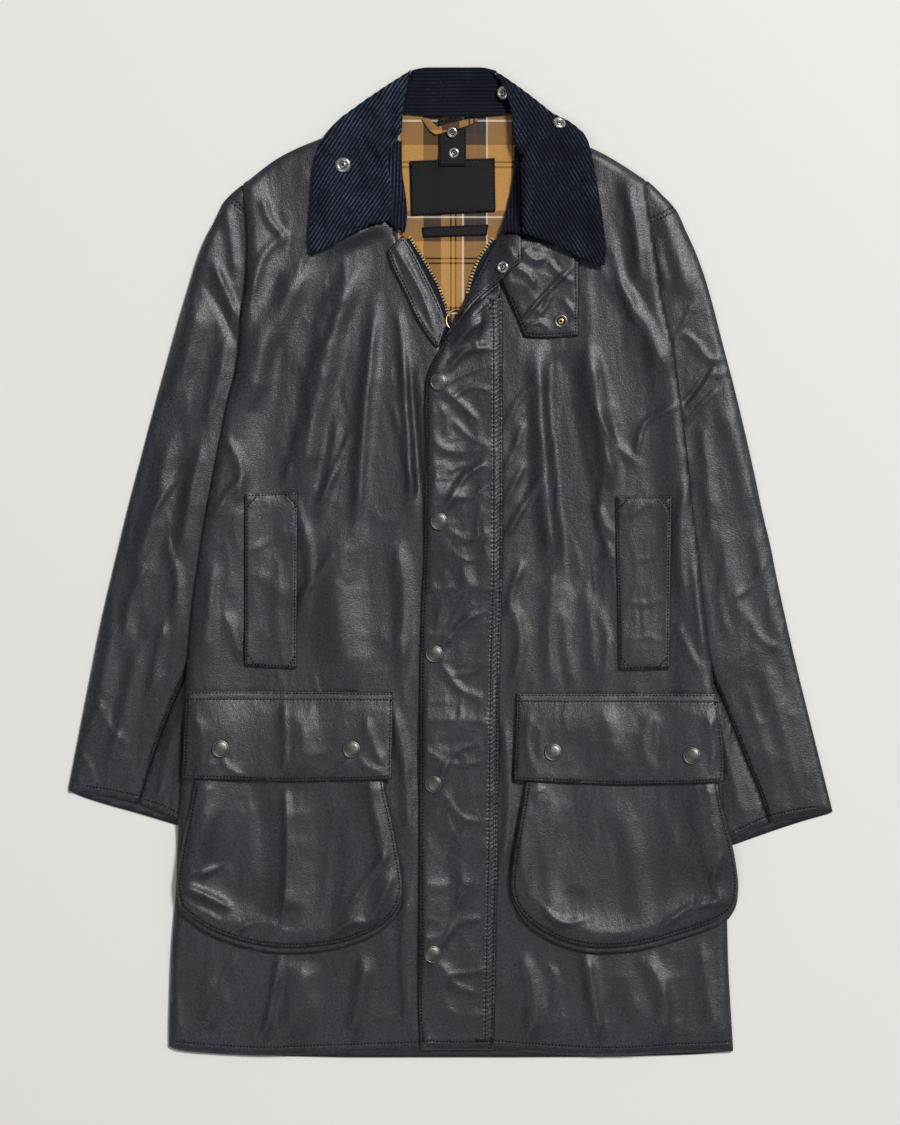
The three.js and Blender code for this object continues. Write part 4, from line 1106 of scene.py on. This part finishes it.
# Piece, and the path of sheet places that the row runs along
PATH_ROWS = [
    ("front_right", [(178, 1040.5), (208, 1043.2), (255.7, 1046), (351, 1043.5), (421, 1041.3)]),
    ("front_left", [(496, 1040), (560.7, 1044.5), (606.6, 1046.5), (675.5, 1043), (728, 1041)]),
    ("storm_fly", [(424, 1039), (458, 1040.5), (493, 1040)]),
    ("flap_right", [(189, 698.4), (391, 699.6)]),
    ("flap_left", [(518, 701.2), (716, 701.4)]),
    ("handwarmer_right", [(249.5, 506), (259, 495.5)]),
    ("handwarmer_right", [(287, 495.5), (297, 506)]),
    ("handwarmer_right", [(249.2, 656), (258, 667)]),
    ("handwarmer_right", [(287, 668), (295.5, 657)]),
    ("handwarmer_left", [(618.8, 508), (628, 498)]),
    ("handwarmer_left", [(658, 498), (667.5, 509)]),
    ("handwarmer_left", [(621.5, 658), (630, 668)]),
    ("handwarmer_left", [(657, 668), (666, 658)]),
    ("sleeve_top_right", [(88, 786), (104.6, 788), (122.5, 791.4), (140, 796)]),
    ("sleeve_top_left", [(813, 806.6), (795.7, 809.4), (781.3, 812.4), (768, 815)]),
    ("sleeve_inner_right", [(146, 799), (158.2, 803), (178, 812)]),
    ("sleeve_inner_left", [(766, 817), (757.4, 820), (733, 831)]),
    ("sleeve_top_left", [(651, 218.6), (662, 213), (672, 207.6)]),
    ("sleeve_top_left", [(651.5, 223), (663, 217.6), (674.6, 211.4)]),
    ("sleeve_top_right", [(231.5, 198), (237, 203), (243, 208.5)]),
    ("sleeve_top_right", [(229.5, 201.5), (236, 207), (243.5, 213)]),
]
BAR_TACK = [(290.5 + 6.0 * (k % 2), 519.5 + 2.0 * k) for k in range(8)]  # a zigzag
sewn = {}


def edge_row(piece, inset, left, top, right, bottom):
    """Runs of a line inside the piece's edge, cut where the sheet's window ends."""
    outline = dense(outlines[piece], 1.0)
    ahead = np.roll(outline, -1, axis=0) - np.roll(outline, 1, axis=0)
    ahead /= np.linalg.norm(ahead, axis=1)[:, None]
    inward = np.stack([-ahead[:, 1], ahead[:, 0]], axis=1) * np.sign(signed_area(outline))
    line = outline + inset * inward
    low, high = on_sheet([(left, bottom), (right, top)])
    kept = ((line > low) & (line < high)).all(axis=1)
    # round an inner corner the line would come too near the edge, and stops
    kept &= distance_to(outline, line[:, 0], line[:, 1])[0] > inset - 0.35
    if kept.all():
        return [np.vstack([line, line[:1]])]
    start = int(np.nonzero(~kept)[0][0])
    order = np.roll(np.arange(len(line)), -start)
    runs, run = [], []
    for i in order[kept[order]]:
        if run and np.linalg.norm(line[i] - line[run[-1]]) > 5:
            runs.append(run)
            run = []
        run.append(i)
    if run:
        runs.append(run)
    return [line[r] for r in runs if len(r) > 6]


for edge in EDGE_ROWS:
    sewn.setdefault(edge[0], []).extend(edge_row(*edge))
for piece, path in PATH_ROWS:
    sewn.setdefault(piece, []).append(dense(smooth_line(on_sheet(path)), 1.0, closed=False))

WALLS = {piece["name"]: piece["wall"] for layer in LAYERS for piece in layer}
# Material and slot of the flat pieces that aren't waxed cotton
OTHER_CLOTH = {
    "lining_back": (LINING, "check_lining"),
    "hanger_loop": (LOOP, "check_lining"),
    "label_main": (LABEL, "woven_label"),
    "label_small": (LABEL, "woven_label"),
    "zip_tape_right": (TAPE, "zip_tape"),
    "zip_tape_left": (TAPE, "zip_tape"),
    "hood_tab": (WEBBING, "webbing"),
}
# Grid step of each flat piece, and what it lies on
FLAT_PIECES = {
    "sleeve_under_right": (6.0,),
    "sleeve_under_left": (6.0,),
    "sleeve_top_right": (3.0, "sleeve_under_right"),
    "sleeve_inner_right": (3.0, "sleeve_under_right"),
    "sleeve_top_left": (3.0, "sleeve_under_left"),
    "sleeve_inner_left": (3.0, "sleeve_under_left"),
    "back": (5.0,),
    "lining_back": (3.0, "back"),
    "label_main": (2.0, "lining_back"),
    "label_small": (1.5, "lining_back"),
    "zip_tape_right": (2.0, "lining_back"),
    "zip_tape_left": (2.0, "lining_back"),
    "hood_tab": (1.5, "lining_back"),
    "hanger_loop": (1.2, "hood_tab"),
    "front_right": (3.0, "back"),
    "front_left": (3.0, "back"),
    "facing_right": (1.8, "front_right"),
    "pocket_gusset_right": (2.4, "front_right"),
    "pocket_gusset_left": (2.4, "front_left"),
    "handwarmer_right": (2.4, "front_right"),
    "handwarmer_left": (2.4, "front_left"),
    "throat_tab": (2.0, "front_left"),
    "facing_left": (1.8, "front_left"),
    "storm_fly": (2.4, "front_left", "front_right"),
    "pocket_right": (2.6, "pocket_gusset_right"),
    "pocket_left": (2.6, "pocket_gusset_left"),
    "flap_right": (2.4, "pocket_right"),
    "flap_left": (2.4, "pocket_left"),
}
# The way that the ribs of each corduroy piece run, in degrees, and what it lies on
CORDUROY_PIECES = {
    "collar_fall_back": (0,),
    "collar_band_back": (0, "lining_back"),
    "collar_stand_right": (88, "front_right"),
    "collar_stand_left": (92, "front_left"),
    "collar_leaf_right": (57, "front_right"),
    "collar_leaf_left": (-60, "front_left"),
}
for piece, (step, *under) in FLAT_PIECES.items():
    material, slot = OTHER_CLOTH.get(piece, (WAXED, "waxed_cotton"))
    cloth(piece, WALLS[piece], material, step)
for piece, (degrees, *under) in CORDUROY_PIECES.items():
    corduroy(piece, WALLS[piece], CORDUROY, degrees)


# What repeats along a line: stitches and zip teeth
def repeat_group(name, unit):
    """A node group that puts a unit at each pitch along a line, with its long side along it."""
    tree = bpy.data.node_groups.new(name, "GeometryNodeTree")
    tree.interface.new_socket("Geometry", in_out="INPUT", socket_type="NodeSocketGeometry")
    for socket, kind in (("Pitch", "Float"), ("Size", "Vector"), ("Uneven", "Float"), ("Material",) * 2):
        tree.interface.new_socket(socket, in_out="INPUT", socket_type="NodeSocket" + kind)
    tree.interface.new_socket("Geometry", in_out="OUTPUT", socket_type="NodeSocketGeometry")
    given = add(tree, "NodeGroupInput").outputs
    curve = add(tree, "GeometryNodeMeshToCurve", {"Mesh": given["Geometry"]}).outputs["Curve"]
    upright = add(tree, "GeometryNodeSetCurveNormal", {"Curve": curve}, mode="Z_UP").outputs["Curve"]
    spaced = {"Curve": upright, "Length": given["Pitch"]}
    places = add(tree, "GeometryNodeCurveToPoints", spaced, mode="LENGTH").outputs
    if unit == "stitch":
        shape = add(tree, "GeometryNodeMeshUVSphere", {"Segments": 6, "Rings": 4, "Radius": 0.5})
    else:
        shape = add(tree, "GeometryNodeMeshCube", {"Size": (1.0, 1.0, 1.0)})
    scaled = {"Geometry": shape.outputs["Mesh"], "Scale": given["Size"]}
    sized = add(tree, "GeometryNodeTransform", scaled).outputs["Geometry"]
    least = maths(tree, "SUBTRACT", 1.0, given["Uneven"])
    most = maths(tree, "ADD", 1.0, given["Uneven"])
    chance = {2: least, 3: most, "Seed": SEED}
    chance = add(tree, "FunctionNodeRandomValue", chance, data_type="FLOAT").outputs[1]
    units = {"Points": places["Points"], "Instance": sized, "Rotation": places["Rotation"], "Scale": chance}
    placed = add(tree, "GeometryNodeInstanceOnPoints", units).outputs["Instances"]
    real = add(tree, "GeometryNodeRealizeInstances", {"Geometry": placed}).outputs["Geometry"]
    dyed = add(tree, "GeometryNodeSetMaterial", {"Geometry": real, "Material": given["Material"]})
    add(tree, "NodeGroupOutput", {"Geometry": dyed.outputs["Geometry"]})
    return tree


def repeat_along(name, lines, group, material, slot, pitch, size, uneven):
    """Makes one mesh of units along lines given in mm."""
    points, edges = [], []
    for line in lines:
        first = len(points)
        points.extend(line.tolist())
        edges.extend((i, i + 1) for i in range(first, len(points) - 1))
    mesh = bpy.data.meshes.new(name + "_lines")
    mesh.from_pydata((np.array(points) * MM).tolist(), edges, [])
    carrier = bpy.data.objects.new(name + "_lines", mesh)
    bpy.context.scene.collection.objects.link(carrier)
    modifier = carrier.modifiers.new("repeat", "NODES")
    modifier.node_group = group
    given = {"Pitch": pitch * MM, "Size": tuple(v * MM for v in size), "Uneven": uneven, "Material": material}
    for item in group.interface.items_tree:
        if item.item_type == "SOCKET" and item.in_out == "INPUT" and item.name in given:
            modifier[item.identifier] = given[item.name]
    carrier.update_tag()
    graph = bpy.context.evaluated_depsgraph_get()
    real = bpy.data.meshes.new_from_object(carrier.evaluated_get(graph), depsgraph=graph)
    bpy.data.objects.remove(carrier)
    made = bpy.data.objects.new(name, real)
    bpy.context.scene.collection.objects.link(made)
    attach(made, JACKET)


def on_top(name, line, rise):
    """A line of x, y on a piece's upper face, where no later piece covers it."""
    height = sample(tops[name], line[:, 0], line[:, 1])
    clear = sample(pile, line[:, 0], line[:, 1]) < height + COVERED
    runs, run = [], []
    for i in range(len(line)):
        if clear[i]:
            run.append((*line[i], height[i] + rise))
        elif run:
            runs.append(np.array(run))
            run = []
    if run:
        runs.append(np.array(run))
    return [r for r in runs if len(r) > 4]


STITCHES = repeat_group("stitches_along_a_row", "stitch")
TEETH = repeat_group("teeth_along_a_tape", "tooth")
for piece, rows in sewn.items():
    runs = [run for row in rows for run in on_top(piece, row, 0.2)]
    if runs:
        slot = "corduroy" if piece.startswith("collar") else "waxed_cotton"
        repeat_along("stitches_" + piece, runs, STITCHES, THREAD, slot, **STITCH)
tack = on_top("handwarmer_right", dense(on_sheet(BAR_TACK), 0.5, closed=False), 0.3)
repeat_along("bar_tack_right", tack, STITCHES, TACK_THREAD, "waxed_cotton", **TACK)

# The teeth stand at one level on their tapes, and the last ones lie lower, beneath the ring
RING_SINK = {"from": 258.0, "over": 4.0, "depth": 1.15}
CHAINS = {
    "zip_teeth_right": [
        (410, 238), (421, 255), (430, 270), (437, 282.5), (442.5, 296), (446, 305.7), (448.3, 316),
    ],
    "zip_teeth_left": [
        (492.5, 239.6), (484.5, 250.4), (477.3, 262), (473, 272.7), (470, 282.5), (467.4, 293),
    ],
}
for name, path in CHAINS.items():
    line = dense(smooth_line(on_sheet(path)), 1.0, closed=False)
    height = sample(blur(tops[name.replace("teeth", "tape")], 2.0), line[:, 0], line[:, 1])
    height = np.full(len(line), float(np.percentile(height, 80))) + 1.0
    height -= RING_SINK["depth"] * np.clip((RING_SINK["from"] - line[:, 1]) / RING_SINK["over"], 0, 1)
    repeat_along(name, [np.column_stack([line, height])], TEETH, BRASS, "brass", **TOOTH)


# Studs, rings and the zip's pull
def circle(radius, count):
    """Places round a circle."""
    turns = [2 * math.pi * k / count for k in range(count)]
    return [(radius * math.cos(turn), radius * math.sin(turn)) for turn in turns]


def turned(profile):
    """A shape turned about its z axis from a profile of radius and height, both in mm."""
    sides = TURNED_SIDES
    points = [(x, y, z) for r, z in profile for x, y in circle(r, sides)]
    faces = []
    for first in range(0, (len(profile) - 1) * sides, sides):
        for k in range(sides):
            a, b = first + k, first + (k + 1) % sides
            faces.append((a, b, b + sides, a + sides))
    faces.append(tuple(reversed(range(sides))))
    faces.append(tuple(range((len(profile) - 1) * sides, len(profile) * sides)))
    return points, faces


def seat(points, place):
    """Points moved onto the cloth at a place, and turned to its slope."""
    px, py = place
    smoothed = blur(pile, 3.0)
    z = max(float(sample(pile, px + dx, py + dy)) for dx in (-3, 0, 3) for dy in (-3, 0, 3))
    slope_x = float(sample(smoothed, px + 4, py) - sample(smoothed, px - 4, py)) / 8
    slope_y = float(sample(smoothed, px, py + 4) - sample(smoothed, px, py - 4)) / 8
    turn = Vector((0, 0, 1)).rotation_difference(Vector((-slope_x, -slope_y, 1)).normalized())
    return [tuple(Vector((px, py, z)) + turn @ Vector(p)) for p in points]


def cad_points(name):
    """The points of a CAD node, in mm."""
    return np.array([v.co[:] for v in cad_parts[name].data.vertices]) / MM


def hardware(name, parts):
    """Turned parts on one node's place, as one mesh. A part is its profile, material and place."""
    solid = cad_points(name)
    centre = (solid.max(axis=0) + solid.min(axis=0)) / 2
    points, faces, kinds, materials = [], [], [], []
    for profile, material, shift in parts:
        made_points, made_faces = turned(profile)
        made_points = [(x + shift[0], y + shift[1], z) for x, y, z in made_points]
        first = len(points)
        points.extend(made_points)
        faces.extend(tuple(i + first for i in face) for face in made_faces)
        if material not in materials:
            materials.append(material)
        kinds.extend([materials.index(material)] * len(made_faces))
    made = make_object(name + "_turned", seat(points, centre[:2]), faces, None)
    for material in materials:
        made.data.materials.append(material)
    made.data.polygons.foreach_set("material_index", kinds)
    made.data.set_sharp_from_angle(angle=math.radians(38))
    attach(made, JACKET)
    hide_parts(name)


# Profiles of radius and height: a stud's cap and its dots in mm, the rest as shares of a ring's radius
STUD_PROFILE = [
    (8.6, -0.6), (8.95, 0.3), (8.85, 1.0), (8.4, 1.45), (7.5, 1.6), (7.2, 1.45), (6.9, 1.62), (5.4, 2.0),
    (3.5, 2.3), (1.5, 2.44), (0.05, 2.46),
]
DOT_PROFILE = [(0.34, -0.3), (0.34, 0.05), (0.05, 0.06)]
EYELET_PROFILE = [
    (1.0, -0.7), (1.03, 0.15), (0.93, 0.95), (0.78, 1.25), (0.62, 1.1), (0.52, 0.5), (0.46, 0.1),
    (0.44, -0.5),
]
TUBE_PROFILE = [(0.36, -0.6), (0.36, 0.7), (0.3, 0.9), (0.2, 0.85), (0.16, 0.3), (0.15, -0.6)]
CAP_RIM = {"radius": 6.75, "height": 1.72, "dots": 20}  # where a stud's cap is dotted

for name in [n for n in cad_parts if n.startswith("snap_")]:
    dot = [(r, z + CAP_RIM["height"]) for r, z in DOT_PROFILE]
    dots = [(dot, DARK_HOLE, place) for place in circle(CAP_RIM["radius"], CAP_RIM["dots"])]
    hardware(name, [(STUD_PROFILE, GUNMETAL, (0, 0))] + dots)
for name in [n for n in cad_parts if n.startswith(("ring_", "stud_"))]:
    radius = float(np.ptp(cad_points(name)[:, :2], axis=0).max()) / 2
    rim, core = (GUNMETAL, BRASS) if name == "ring_throat_tab" else (NICKEL, NICKEL)
    parts = [
        ([(r * radius, z) for r, z in EYELET_PROFILE], rim, (0, 0)),
        ([(0.46 * radius, -0.6), (0.46 * radius, -0.1), (0.05, -0.1)], DARK_HOLE, (0, 0)),
        ([(r * radius, z) for r, z in TUBE_PROFILE], core, (0, 0)),
        ([(0.15 * radius, -0.55), (0.15 * radius, 0.05), (0.02, 0.05)], DARK_HOLE, (0, 0)),
    ]
    hardware(name, parts)

# the ring takes its middle, plane, radius and wire from its solid's points
points = cad_points("zip_pull_ring")
middle = points.mean(axis=0)
axes = np.linalg.svd(points - middle, full_matrices=False)[2]
away = np.linalg.norm((points - middle) @ axes[:2].T, axis=1)
ring_radius, wire = float(away.max() + away.min()) / 2, float(away.max() - away.min()) / 2
ROUND, THICK = 72, 12  # sides round the ring and round its wire
around = 2 * np.pi * np.arange(ROUND) / ROUND
across = 2 * np.pi * np.arange(THICK) / THICK
u, v, w = axes[0], axes[1], np.cross(axes[0], axes[1])
torus = [
    middle + (ring_radius + wire * math.cos(b)) * (math.cos(a) * u + math.sin(a) * v) + wire * math.sin(b) * w
    for a in around
    for b in across
]
torus_faces = []
for i in range(ROUND):
    for j in range(THICK):
        here, ahead = i * THICK, (i + 1) % ROUND * THICK
        torus_faces.append((here + j, ahead + j, ahead + (j + 1) % THICK, here + (j + 1) % THICK))
pull = make_object("zip_pull_wire", torus, torus_faces, BRASS)
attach(pull, PULL)
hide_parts("zip_pull_ring")


# Stage
def area_light(name, place, aim, size, power, colour):
    """A soft rectangular light at a place, in metres, that points at another."""
    lamp = bpy.data.lights.new(name, "AREA")
    lamp.shape = "RECTANGLE"
    lamp.size, lamp.size_y = size
    lamp.energy = power
    lamp.color = colour
    made = bpy.data.objects.new(name, lamp)
    made.location = place
    made.rotation_mode = "QUATERNION"
    made.rotation_quaternion = (Vector(aim) - Vector(place)).to_track_quat("-Z", "Y")
    bpy.context.scene.collection.objects.link(made)


half, below = 4000, -0.2
corners = [(-half, -half, below), (half, -half, below), (half, half, below), (-half, half, below)]
paper = new_material("pale_paper", "#e4e3df", Roughness=0.9)[0]
make_object("floor", corners, [(0, 1, 2, 3)], paper, smooth=False)
# the key stands up to the right, where the folds catch the light, and a weak fill stands opposite
area_light("key", (4.2, 4.3, 7.9), (0, 0, 0), (2.3, 1.9), 880.0, (1.0, 0.99, 0.97))
area_light("fill", (-3.3, -4.0, 7.9), (0, 0, 0), (3.0, 3.0), 75.0, (0.97, 0.98, 1.0))

world = bpy.data.worlds.new("studio")
world.use_nodes = True
world.node_tree.nodes["Background"].inputs["Color"].default_value = linear("#f4f5f7")
world.node_tree.nodes["Background"].inputs["Strength"].default_value = 0.25
bpy.context.scene.world = world
bpy.context.scene.view_settings.view_transform = "Standard"

camera_data = bpy.data.cameras.new("camera")
camera_data.sensor_width = SENSOR
camera_data.lens = SENSOR * CAMERA_HEIGHT / SHEET_SIZE[1]
camera = bpy.data.objects.new("camera", camera_data)
camera.location = (*(on_sheet([SHEET_SIZE / 2])[0] * MM), CAMERA_HEIGHT * MM)
bpy.context.scene.collection.objects.link(camera)
bpy.context.scene.camera = camera

for name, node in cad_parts.items():
    if node.hide_render:
        continue
    plating = BRASS if name.startswith("zip") else GUNMETAL if name.startswith("snap") else NICKEL
    node.data.materials.clear()
    node.data.materials.append(plating)
